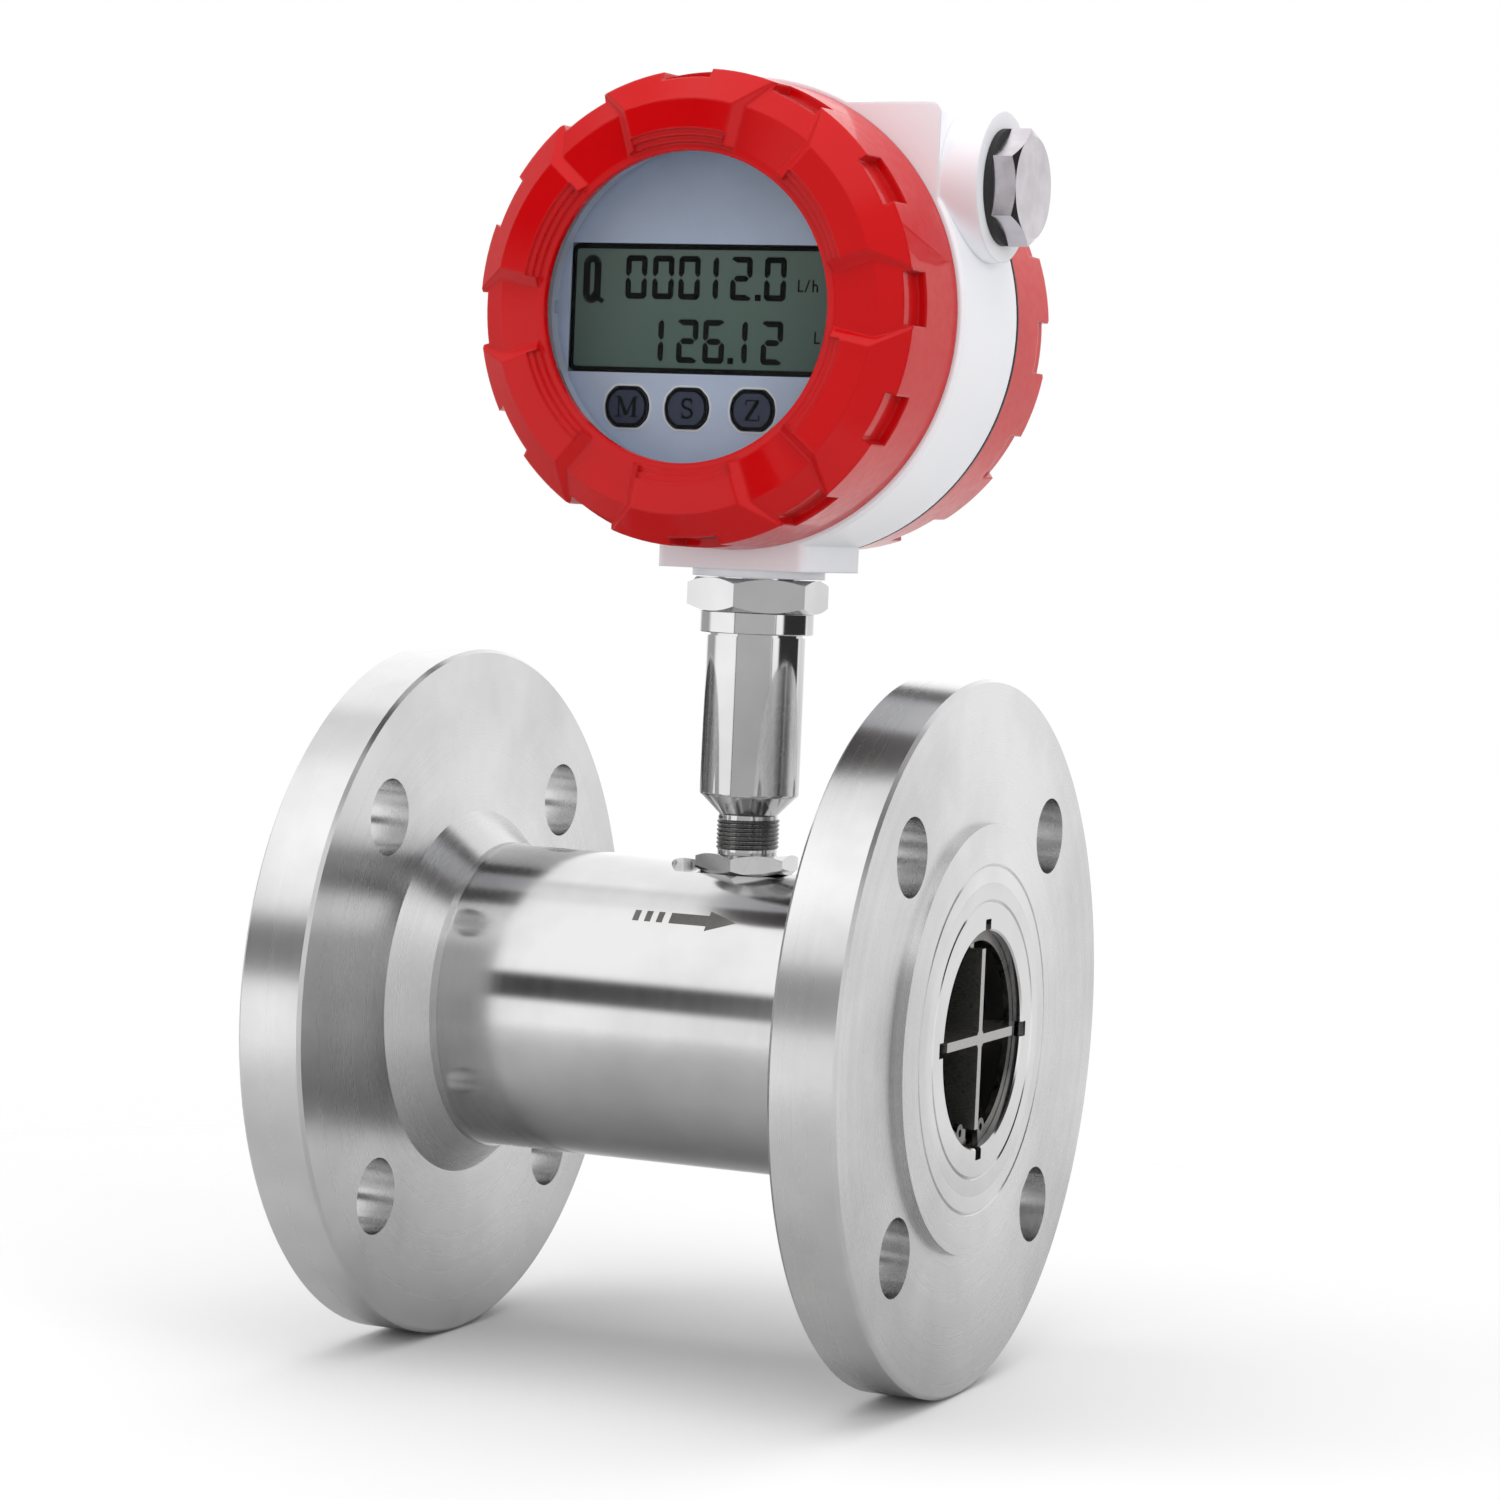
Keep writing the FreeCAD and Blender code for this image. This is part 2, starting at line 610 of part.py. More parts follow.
# ---- head housing -----------------------------------------------------------
def entry_block():
    """Shoulder that carries the cable entry, rounded at its free corner."""
    low = ENTRY_Z - ENTRY_BOSS_R
    top = ENTRY_BLOCK_TOP
    outline = [(0, low), (ENTRY_BLOCK_X, low), (ENTRY_BLOCK_X, top, ENTRY_ROUND), (0, top)]
    face = profile_face(outline, lambda p: HEAD_CENTRE + V(p.x, -HEAD_HALF, p.y))
    return face.extrude(V(0, 2 * HEAD_HALF, 0))


def neck_boss():
    """Rectangular foot of the housing with rounded upright edges."""
    x = BOSS_HALF_X
    y = HEAD_HALF
    outline = [(-x, -y, BOSS_ROUND), (x, -y, BOSS_ROUND), (x, y, BOSS_ROUND), (-x, y, BOSS_ROUND)]
    face = profile_face(outline, lambda p: V(STEM_X + p.x, p.y, BOSS_Z))
    return face.extrude(V(0, 0, HEAD_FLOOR_DROP + HEAD_R - CAVITY_R))


def entry_disc(x, length, radius):
    return Part.makeCylinder(radius, length, HEAD_CENTRE + V(x, 0, ENTRY_Z), X_AXIS)


def head_housing():
    half = HEAD_HALF
    full = half + SPIGOT_LEN
    lead = THREAD_GAP * 3
    body = turned_head([
        (0, -full), (COVER_THREAD_R - lead, -full), (COVER_THREAD_R, -full + lead), (COVER_THREAD_R, -half),
        (HEAD_R - HEAD_EDGE, -half), (HEAD_R, -half + HEAD_EDGE), (HEAD_R, half - HEAD_EDGE),
        (HEAD_R - HEAD_EDGE, half), (COVER_THREAD_R, half), (COVER_THREAD_R, full - lead),
        (COVER_THREAD_R - lead, full), (0, full),
    ])
    boss = entry_disc(0, ENTRY_FACE_X, ENTRY_BOSS_R)
    neck = stem_disc(NECK_Z, HEAD_Z - NECK_Z, NECK_R)
    body = body.fuse([entry_block(), boss, neck_boss(), neck])
    front = head_disc(full, full - WEB_F - WEB_T, CAVITY_R)
    rear = head_disc(WEB_F, WEB_F + full, CAVITY_R)
    floor = stem_disc(FLOOR_Z, HEAD_R - ENTRY_Z, SPIGOT_R + CIRCLIP_REACH + SWIVEL_GAP)
    bore = stem_disc(NECK_Z, CAVITY_R, SPIGOT_R + SPIGOT_FIT)
    entry = entry_disc(CELL_LEN / 2 + CELL_WALL, ENTRY_FACE_X, ENTRY_BORE_R)
    wires = head_disc(WEB_F + WEB_T, WEB_T, WIRE_HOLE_R, 0, CAVITY_R - 2 * WIRE_HOLE_R)
    return body.cut([front, rear, floor, bore, entry, wires])


# ---- covers -----------------------------------------------------------------
def cover_levels(face):
    """Heights on a cover whose open rim lies at this distance from the head's middle."""
    top = face + COVER_DEPTH
    return {"face": face, "corner": face + COVER_SKIRT, "top": top, "crown": top - PAD_CROWN_DROP,
            "lip": top - 3 * PAD_STEP_H}


def trough_space(level):
    """Ring of space above the smooth floors between the grip pads."""
    outer = COVER_R + THREAD_GAP
    over = level["top"] + THREAD_GAP
    return turned_head([(LIP_R, level["lip"]), (PAD_CROWN_R, level["crown"] - TROUGH_DEPTH),
                        (outer, level["corner"] - TROUGH_DEPTH / 2), (outer, over), (LIP_R, over)])


def trough(level):
    """Cutter between two grip pads, whose ends slope up from the floor."""
    over = level["top"] + THREAD_GAP
    slope = TROUGH_DRAFT / TROUGH_DEPTH
    stations = [(LIP_R - WINDOW_LIP, level["lip"], TROUGH_W_IN / 2),
                (COVER_R + WINDOW_LIP, level["corner"] - TROUGH_DEPTH / 2, TROUGH_W_OUT / 2)]
    sections = []
    for radius, floor, foot in stations:
        low = floor - TROUGH_DEPTH
        narrow = foot - TROUGH_DRAFT
        wide = foot + (over - floor) * slope
        corners = [V(radius, -low, -narrow), V(radius, -low, narrow),
                   V(radius, -over, wide), V(radius, -over, -wide)]
        corners.append(corners[0])
        sections.append(Part.makePolygon([HEAD_CENTRE + corner for corner in corners]))
    return Part.makeLoft(sections, True, True).common(trough_space(level))


def notch(level):
    """Cutter for the recess between two rim lugs."""
    inner = COVER_R - NOTCH_DEPTH
    outer = COVER_R + NOTCH_DEPTH
    outline = [(inner, level["corner"] - NOTCH_LEN), (outer, level["corner"] - NOTCH_LEN),
               (outer, level["top"]), (inner, level["top"])]
    cutter = turned_head(outline, NOTCH_ANGLE)
    return around_head(cutter, NOTCH_ANGLE / 2)


def pocket(level):
    """Cutter for the stepped recess beside the window in one grip pad."""
    outline = [(WINDOW_R, level["top"] + PAD_STEP_H), (WINDOW_R, level["lip"] + PAD_STEP_H)]
    for k in (1, 2):
        radius = LIP_R + k * PAD_STEP
        outline += [(radius, level["lip"] + k * PAD_STEP_H), (radius, level["lip"] + (k + 1) * PAD_STEP_H)]
    outline.append((LIP_R + 2 * PAD_STEP, level["top"] + PAD_STEP_H))
    cutter = turned_head(outline, POCKET_ANGLE)
    return around_head(cutter, POCKET_ANGLE / 2)


def castellate(shell, level):
    """Cuts the notches, troughs and pockets, then turns the cover to where it comes to rest."""
    cuts = []
    for k in range(LUG_COUNT):
        cuts.append(around_head(notch(level), 360.0 / LUG_COUNT * k))
    for k in range(PAD_COUNT):
        cuts.append(around_head(trough(level), 360.0 / PAD_COUNT * k))
        cuts.append(around_head(pocket(level), 360.0 / PAD_COUNT * (k + 0.5)))
    return around_head(shell.cut(cuts), COVER_TURN)


def cover_outside(level):
    """Outer outline from the open rim over the pads to the lip of the centre."""
    return [(COVER_R, level["face"]), (COVER_R - COVER_TAPER, level["corner"]),
            (PAD_CROWN_R, level["crown"]), (LIP_R, level["top"]), (LIP_R, level["lip"])]


def thread_side(face):
    """Inner outline from the end of the thread to the open rim, with the seal recess."""
    bore = COVER_THREAD_R + THREAD_GAP
    recess = bore + SEAL_W + THREAD_GAP
    depth = face + SEAL_T + THREAD_GAP
    return [(bore, COVER_SHOULDER), (bore, depth), (recess, depth), (recess, face)]


def front_cover():
    level = cover_levels(COVER_FACE)
    seat = GLASS_R + GLASS_FIT
    outline = cover_outside(level) + [
        (WINDOW_R, level["lip"]), (WINDOW_R, GASKET_FRONT), (seat, GASKET_FRONT), (seat, GLASS_BACK),
        (RETAINER_R, GLASS_BACK), (RETAINER_R, COVER_SHOULDER),
    ] + thread_side(level["face"])
    return castellate(turned_head(outline), level)


def rear_cover():
    level = cover_levels(HEAD_HALF + SEAL_GAP)
    inside = level["lip"] - REAR_WALL
    outline = cover_outside(level) + [
        (0, level["lip"]), (0, inside), (RETAINER_R, inside, REAR_WALL), (RETAINER_R, COVER_SHOULDER),
    ] + thread_side(level["face"])
    cover = castellate(turned_head(outline), level)
    cover.rotate(HEAD_CENTRE, Z_AXIS, 180)
    return cover


def cover_seal(gap, shown):
    """Ring in the cover's recess; its flange, where shown, fills the gap to the body."""
    inner = COVER_THREAD_R + THREAD_GAP
    outer = inner + SEAL_W
    low = HEAD_HALF + SEAL_CLEAR
    high = HEAD_HALF + gap + SEAL_T
    outline = [(inner, low), (outer, low), (outer, high), (inner, high)]
    if shown:
        flange = HEAD_HALF + gap - SEAL_CLEAR
        rim = COVER_R - SEAL_CLEAR
        outline = [(inner, low), (rim, low), (rim, flange), (outer, flange), (outer, high), (inner, high)]
    return turned_head(outline)


def rear_seal():
    seal = cover_seal(SEAL_GAP, True)
    seal.rotate(HEAD_CENTRE, Z_AXIS, 180)
    return seal


def window_glass():
    edge = GLASS_FIT
    return turned_head([(0, GLASS_BACK), (GLASS_R, GLASS_BACK), (GLASS_R, GLASS_FRONT - edge),
                        (GLASS_R - edge, GLASS_FRONT), (0, GLASS_FRONT)])


def glass_gasket():
    return head_disc(GASKET_FRONT, GASKET_T, GLASS_R).cut(head_disc(GASKET_FRONT, GASKET_T, GASKET_IN_R))


def glass_retainer():
    """Threaded ring behind the glass with spanner slots in its open face."""
    ring = head_disc(GLASS_BACK, RETAINER_T, RETAINER_R)
    ring = ring.cut(head_disc(GLASS_BACK, RETAINER_T, RETAINER_IN_R))
    half = RETAINER_T / 2
    slot = head_box(-RETAINER_R, RETAINER_R, GLASS_BACK - half, RETAINER_T, -half, half)
    return ring.cut([slot, around_head(slot, 90)])


# ---- display ----------------------------------------------------------------
def key_outline(grow):
    """Barrel shape: flat top and foot, round corners, sides slightly bowed."""
    x = KEYCAP_W / 2 + grow
    z = KEYCAP_H / 2 + grow
    c = KEYCAP_CORNER
    bow = x + KEYCAP_BULGE
    soft = KEYCAP_SOFT
    right = [(x - c, -z, soft), (x, c - z, soft), (bow, 0, x), (x, z - c, soft), (x - c, z, soft)]
    left = [(-p[0], p[1], p[2]) for p in reversed(right)]
    return right + left


def key_prism(x, front, depth, grow):
    face = profile_face(key_outline(grow), lambda p: HEAD_CENTRE + V(x + p.x, -front, KEY_Z + p.y))
    return face.extrude(V(0, depth, 0))


def keycap(x):
    """Cap through the face plate with a flange that keeps it behind the plate."""
    front = PLATE_FRONT + KEYCAP_PROUD
    cap = key_prism(x, front, front - KEY_FOOT, 0)
    flange_front = PLATE_FRONT - PLATE_T - KEYCAP_FIT / 2
    flange = key_prism(x, flange_front, flange_front - KEY_FOOT, 3 * KEYCAP_FIT)
    return cap.fuse(flange)


def face_plate():
    plate = head_disc(PLATE_FRONT, PLATE_FRONT - BOARD_FRONT, PLATE_R)
    hollow_front = PLATE_FRONT - PLATE_T
    plate = plate.cut(head_disc(hollow_front, hollow_front - BOARD_FRONT, PLATE_R - PLATE_WALL))
    half = LCD_HALF_X + LCD_FIT
    window = head_box(-half, half, PLATE_FRONT, PLATE_T, LCD_BOTTOM - LCD_FIT, LCD_TOP + LCD_FIT)
    holes = [key_prism(x, PLATE_FRONT, PLATE_T, KEYCAP_FIT) for x in KEY_XS.values()]
    return plate.cut(holes + [window])


def lcd_module():
    front = PLATE_FRONT - LCD_INSET
    return head_box(-LCD_HALF_X, LCD_HALF_X, front, front - BOARD_FRONT, LCD_BOTTOM, LCD_TOP)


def key_switches():
    shapes = []
    half = SWITCH_SIZE / 2
    body = SWITCH_BODY_H
    for x in KEY_XS.values():
        base = head_box(x - half, x + half, BOARD_FRONT + body, body, KEY_Z - half, KEY_Z + half)
        shapes.append(base.fuse(head_disc(BOARD_FRONT + SWITCH_H, SWITCH_H, SWITCH_STEM_R, x, KEY_Z)))
    return group(shapes)


def post_places():
    places = []
    for k in range(POST_COUNT):
        angle = math.radians(POST_FIRST_ANGLE + 360.0 / POST_COUNT * k)
        places.append((POST_CIRCLE_R * math.cos(angle), POST_CIRCLE_R * math.sin(angle)))
    return places


def display_board():
    board = head_disc(BOARD_FRONT, BOARD_T, PLATE_R - BOARD_FIT)
    holes = [head_disc(BOARD_FRONT, BOARD_T, SCREW_R, x, z) for x, z in post_places()]
    return board.cut(holes)


def board_posts():
    back = BOARD_FRONT - BOARD_T
    posts = []
    for x, z in post_places():
        post = head_disc(back, back - WEB_F - WEB_T, POST_R, x, z)
        posts.append(post.cut(head_disc(back, SCREW_LEN - BOARD_T, SCREW_R, x, z)))
    return group(posts)


def board_screws():
    screws = []
    for x, z in post_places():
        head = head_disc(BOARD_FRONT + SCREW_HEAD_H, SCREW_HEAD_H, SCREW_HEAD_R, x, z)
        slot = head_box(x - SCREW_HEAD_R, x + SCREW_HEAD_R, BOARD_FRONT + SCREW_HEAD_H, SCREW_HEAD_H / 2,
                        z - SCREW_R / 4, z + SCREW_R / 4)
        shank = head_disc(BOARD_FRONT, SCREW_LEN, SCREW_R, x, z)
        screws.append(head.cut(slot).fuse(shank))
    return group(screws)


# ---- rear chamber -----------------------------------------------------------
def terminal_xs():
    pitch = TERMINAL_LEN / TERMINAL_COUNT
    return [pitch * (k + 0.5) - TERMINAL_LEN / 2 for k in range(TERMINAL_COUNT)]


def terminal_block():
    """Row of clamps: screw wells in the rear face, wire mouths below."""
    half = TERMINAL_LEN / 2
    low = TERMINAL_Z - TERMINAL_H / 2
    block = head_box(-half, half, WEB_F, TERMINAL_D, low, low + TERMINAL_H)
    cuts = []
    for x in terminal_xs():
        cuts.append(head_disc(WEB_F - TERMINAL_D / 2, TERMINAL_D, TERMINAL_SCREW_R, x, TERMINAL_Z))
        mouth_f = WEB_F - TERMINAL_D / 4
        side = TERMINAL_SCREW_R
        cuts.append(head_box(x - side, x + side, mouth_f, side, low, low + TERMINAL_H / 3))
    return block.cut(cuts)


def terminal_screws():
    screws = []
    for x in terminal_xs():
        front = WEB_F - TERMINAL_D / 2
        depth = TERMINAL_D / 4
        screw = head_disc(front, depth, TERMINAL_SCREW_R, x, TERMINAL_Z)
        slot_front = front - depth + TERMINAL_SLOT_D
        slot = head_box(x - TERMINAL_SCREW_R, x + TERMINAL_SCREW_R, slot_front, depth,
                        TERMINAL_Z - TERMINAL_SCREW_R / 6, TERMINAL_Z + TERMINAL_SCREW_R / 6)
        screws.append(screw.cut(slot))
    return group(screws)


def cell_cylinder(radius, length):
    middle = WEB_F - CELL_WALL - CELL_R
    return Part.makeCylinder(radius, length, HEAD_CENTRE + V(-length / 2, -middle, CELL_Z), X_AXIS)


def backup_cell():
    button = cell_cylinder(CELL_R / 3, CELL_LEN + CELL_WALL)
    return cell_cylinder(CELL_R, CELL_LEN).fuse(button)


def cell_holder():
    """Open cradle on the partition that grips the cell by its lower half."""
    half = CELL_LEN / 2 + 2 * CELL_WALL
    depth = CELL_R + CELL_WALL
    rise = CELL_R + CELL_WALL
    cradle = head_box(-half, half, WEB_F, depth, CELL_Z - rise, CELL_Z + rise)
    return cradle.cut(cell_cylinder(CELL_R, CELL_LEN + CELL_WALL))


def ground_screw():
    head_h = GROUND_SCREW_R / 2
    head = head_disc(WEB_F, head_h, GROUND_SCREW_R, GROUND_X, TERMINAL_Z)
    slot = head_box(GROUND_X - GROUND_SCREW_R, GROUND_X + GROUND_SCREW_R, WEB_F - head_h / 2, head_h,
                    TERMINAL_Z - head_h / 4, TERMINAL_Z + head_h / 4)
    return head.cut(slot)


# ---- entry plug -------------------------------------------------------------
def conduit_plug():
    """Hexagon plug, hollow from its inner end."""
    washer_face = ENTRY_FACE_X + SEAL_CLEAR + PLUG_WASHER_T
    head = hexagon(PLUG_AF, PLUG_HEAD, PLUG_TURN, False)
    head.rotate(V(0, 0, 0), Y_AXIS, 90)
    head.translate(HEAD_CENTRE + V(washer_face, 0, ENTRY_Z))
    thread_r = ENTRY_BORE_R - PLUG_FIT
    start = washer_face - PLUG_WASHER_T - PLUG_THREAD_LEN
    shank = entry_disc(start, PLUG_WASHER_T + PLUG_THREAD_LEN, thread_r)
    hollow = entry_disc(start, PLUG_THREAD_LEN, thread_r - PLUG_WALL)
    return head.fuse(shank).cut(hollow)


def plug_washer():
    start = ENTRY_FACE_X + SEAL_CLEAR
    ring = entry_disc(start, PLUG_WASHER_T, PLUG_WASHER_R)
    return ring.cut(entry_disc(start, PLUG_WASHER_T, ENTRY_BORE_R))


# ---- build ------------------------------------------------------------------
def main():
    os.makedirs("parts", exist_ok=True)
    nodes = {
        "body_tube": body_tube(),
        "inlet_flange": inlet_flange(),
        "outlet_flange": to_outlet(inlet_flange()),
        "inlet_straightener": straightener(INLET_HUB_END),
        "outlet_straightener": to_outlet(straightener(FACE_TO_FACE - OUTLET_HUB_START)),
        "inlet_snap_ring": snap_ring(),
        "outlet_snap_ring": to_outlet(snap_ring()),
        "inlet_bush": bush(INLET_HUB_END - BUSH_LEN),
        "outlet_bush": bush(OUTLET_HUB_START),
        "inlet_thrust_washer": thrust_washer(INLET_HUB_END),
        "outlet_thrust_washer": thrust_washer(OUTLET_HUB_START - WASHER_T),
        "rotor": rotor(),
        "rotor_shaft": rotor_shaft(),
        "lock_nut": stem_nut(LOCK_NUT_AF, SPOT_Z, LOCK_NUT_H, THREAD_R, LOCK_NUT_TURN),
        "stem_tube": stem_tube(),
        "union_nut": stem_nut(UNION_AF, UNION_Z, UNION_H, SPIGOT_R, UNION_TURN),
        "stem_circlip": stem_circlip(),
        "pickup_core": pickup_core(),
        "pickup_coil": pickup_coil(),
        "pickup_magnet": pickup_magnet(),
        "preamp_board": preamp_board(),
        "head_housing": head_housing(),
        "front_cover": front_cover(),
        "rear_cover": rear_cover(),
        "front_seal": cover_seal(COVER_GAP, False),
        "rear_seal": rear_seal(),
        "window_glass": window_glass(),
        "glass_gasket": glass_gasket(),
        "glass_retainer": glass_retainer(),
        "face_plate": face_plate(),
        "lcd_module": lcd_module(),
        "key_switches": key_switches(),
        "display_board": display_board(),
        "board_posts": board_posts(),
        "board_screws": board_screws(),
        "terminal_block": terminal_block(),
        "terminal_screws": terminal_screws(),
        "backup_cell": backup_cell(),
        "cell_holder": cell_holder(),
        "ground_screw": ground_screw(),
        "conduit_plug": conduit_plug(),
        "plug_washer": plug_washer(),
    }
    for node, x in KEY_XS.items():
        nodes[node] = keycap(x)
    for node, shape in nodes.items():
        save(node, shape)


main()
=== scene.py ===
import json
import math

import bpy
from mathutils import Matrix, Vector


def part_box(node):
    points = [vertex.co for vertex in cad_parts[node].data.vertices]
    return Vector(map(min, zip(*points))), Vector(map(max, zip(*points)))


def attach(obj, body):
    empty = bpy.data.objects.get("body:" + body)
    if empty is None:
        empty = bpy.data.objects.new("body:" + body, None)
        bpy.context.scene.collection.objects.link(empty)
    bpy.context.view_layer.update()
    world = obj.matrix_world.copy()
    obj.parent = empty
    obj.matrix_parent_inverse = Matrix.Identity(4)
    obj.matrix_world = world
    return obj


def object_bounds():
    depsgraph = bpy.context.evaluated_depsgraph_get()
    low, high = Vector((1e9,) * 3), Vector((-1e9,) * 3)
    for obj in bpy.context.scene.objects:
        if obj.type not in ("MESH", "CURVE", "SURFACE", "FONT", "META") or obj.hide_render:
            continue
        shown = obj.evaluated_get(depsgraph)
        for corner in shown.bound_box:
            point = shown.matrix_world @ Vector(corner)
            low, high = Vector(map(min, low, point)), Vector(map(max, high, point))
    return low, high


bl_info = {
    "name": "Turbine flow meter dresser",
    "version": (1, 0, 0),
    "blender": (4, 5, 0),
    "location": "3D View > Sidebar > Flow meter",
    "description": "Finishes, fine pieces and a studio for a flanged flow meter with a display head",
    "category": "Object",
}

# Sizes are in metres. The pipe lies along +X, the display looks to -Y, the stem stands up +Z.
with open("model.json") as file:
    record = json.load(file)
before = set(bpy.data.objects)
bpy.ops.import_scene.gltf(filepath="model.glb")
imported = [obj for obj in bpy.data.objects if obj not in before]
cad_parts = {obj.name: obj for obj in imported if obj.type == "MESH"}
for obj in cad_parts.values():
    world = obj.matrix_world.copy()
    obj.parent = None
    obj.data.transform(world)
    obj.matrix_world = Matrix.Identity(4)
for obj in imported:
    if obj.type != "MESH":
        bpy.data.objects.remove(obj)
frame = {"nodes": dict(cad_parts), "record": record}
nodes = frame["nodes"]
CAD_BOX = [list(corner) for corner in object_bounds()]
MM = 0.001


def middle(node):
    """Middle of a CAD node's box."""
    low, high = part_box(node)
    return (Vector(low) + Vector(high)) / 2


HEAD = middle("face_plate")
STEM = middle("stem_tube")
TUBE_R = (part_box("body_tube")[1][2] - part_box("body_tube")[0][2]) / 2

# A Mix node has sockets for each kind of value; these are the places of the ones used here
MIX_SHARE = 0
MIX_NUMBERS = (2, 3)
MIX_COLOURS = (6, 7)
MIXED_COLOUR = 2


# ---- node trees -------------------------------------------------------------
def painted(red, green, blue):
    """Linear colour of a paint given as the eye sees it, 0 to 255."""
    shades = []
    for value in (red, green, blue):
        value = value / 255
        shades.append(value / 12.92 if value <= 0.04045 else ((value + 0.055) / 1.055) ** 2.4)
    return (*shades, 1.0)


class Graph:
    """Adds nodes to a node tree and joins them."""

    def __init__(self, tree):
        self.tree = tree
        self.tree.nodes.clear()

    def add(self, kind, **settings):
        """A new node; a setting is an input's value or else one of the node's properties."""
        node = self.tree.nodes.new(kind)
        for key, value in settings.items():
            if key in node.inputs:
                node.inputs[key].default_value = value
            else:
                setattr(node, key, value)
        return node

    def link(self, source, target):
        self.tree.links.new(source, target)

    def supply(self, socket, value):
        """Sets a socket to a number, or links another node's output to it."""
        if isinstance(value, (int, float)):
            socket.default_value = value
        else:
            self.link(value, socket)

    def compute(self, operation, *values):
        """Result of a Math node on numbers or outputs."""
        node = self.add("ShaderNodeMath", operation=operation)
        for socket, value in zip(node.inputs, values):
            self.supply(socket, value)
        return node.outputs[0]

    def distance(self, first, second):
        """Length of a line that goes first one way and second the other."""
        squares = [self.compute("MULTIPLY", value, value) for value in (first, second)]
        return self.compute("SQRT", self.compute("ADD", *squares))

    def place(self):
        """Position on the object."""
        return self.add("ShaderNodeTexCoord").outputs["Object"]

    def parts(self, vector):
        """The x, y and z of a vector."""
        node = self.add("ShaderNodeSeparateXYZ")
        self.link(vector, node.inputs[0])
        return node.outputs

    def map_range(self, source, span, values, interpolation="LINEAR"):
        """Maps a span of a source to a range of values."""
        node = self.add("ShaderNodeMapRange", interpolation_type=interpolation)
        sockets = ("From Min", "From Max", "To Min", "To Max")
        for socket, value in zip(sockets, (*span, *values)):
            node.inputs[socket].default_value = value
        self.link(source, node.inputs["Value"])
        return node.outputs["Result"]

    def window(self, value, low, high, soft):
        """1 where a value lies between low and high, with soft ends."""
        rise = self.map_range(value, (low - soft, low + soft), (0.0, 1.0), "SMOOTHSTEP")
        fall = self.map_range(value, (high - soft, high + soft), (1.0, 0.0), "SMOOTHSTEP")
        return self.compute("MULTIPLY", rise, fall)

    def blend(self, share, base, over):
        """Number that goes from base to over with a share."""
        node = self.add("ShaderNodeMix", data_type="FLOAT")
        for place, value in zip((MIX_SHARE, *MIX_NUMBERS), (share, base, over)):
            self.supply(node.inputs[place], value)
        return node.outputs[0]

    def mix_shaders(self, share, first, second):
        """Shader that goes from first to second with a share."""
        node = self.add("ShaderNodeMixShader")
        for socket, source in zip(node.inputs, (share, first, second)):
            self.link(source, socket)
        return node.outputs[0]

    def noise(self, scale, detail=2.0, rough=0.5, stretch=(1, 1, 1), vector=None):
        """Noise at a scale per metre, stretched along the axes; 0 to 1."""
        mapping = self.add("ShaderNodeMapping", Scale=stretch)
        self.link(vector or self.place(), mapping.inputs["Vector"])
        node = self.add("ShaderNodeTexNoise", Scale=scale, Detail=detail, Roughness=rough)
        self.link(mapping.outputs["Vector"], node.inputs["Vector"])
        return node.outputs["Fac"]

    def colours(self, pattern, *stops):
        """Colour ramp over a pattern; stops are (place, colour)."""
        ramp = self.add("ShaderNodeValToRGB")
        elements = ramp.color_ramp.elements
        while len(elements) < len(stops):
            elements.new(0.5)
        for element, (at, colour) in zip(elements, stops):
            element.position = at
            element.color = colour
        self.link(pattern, ramp.inputs["Fac"])
        return ramp.outputs["Color"]


# Where a noise pattern starts and ends; it seldom reaches 0 or 1
NOISE_SPAN = (0.3, 0.7)


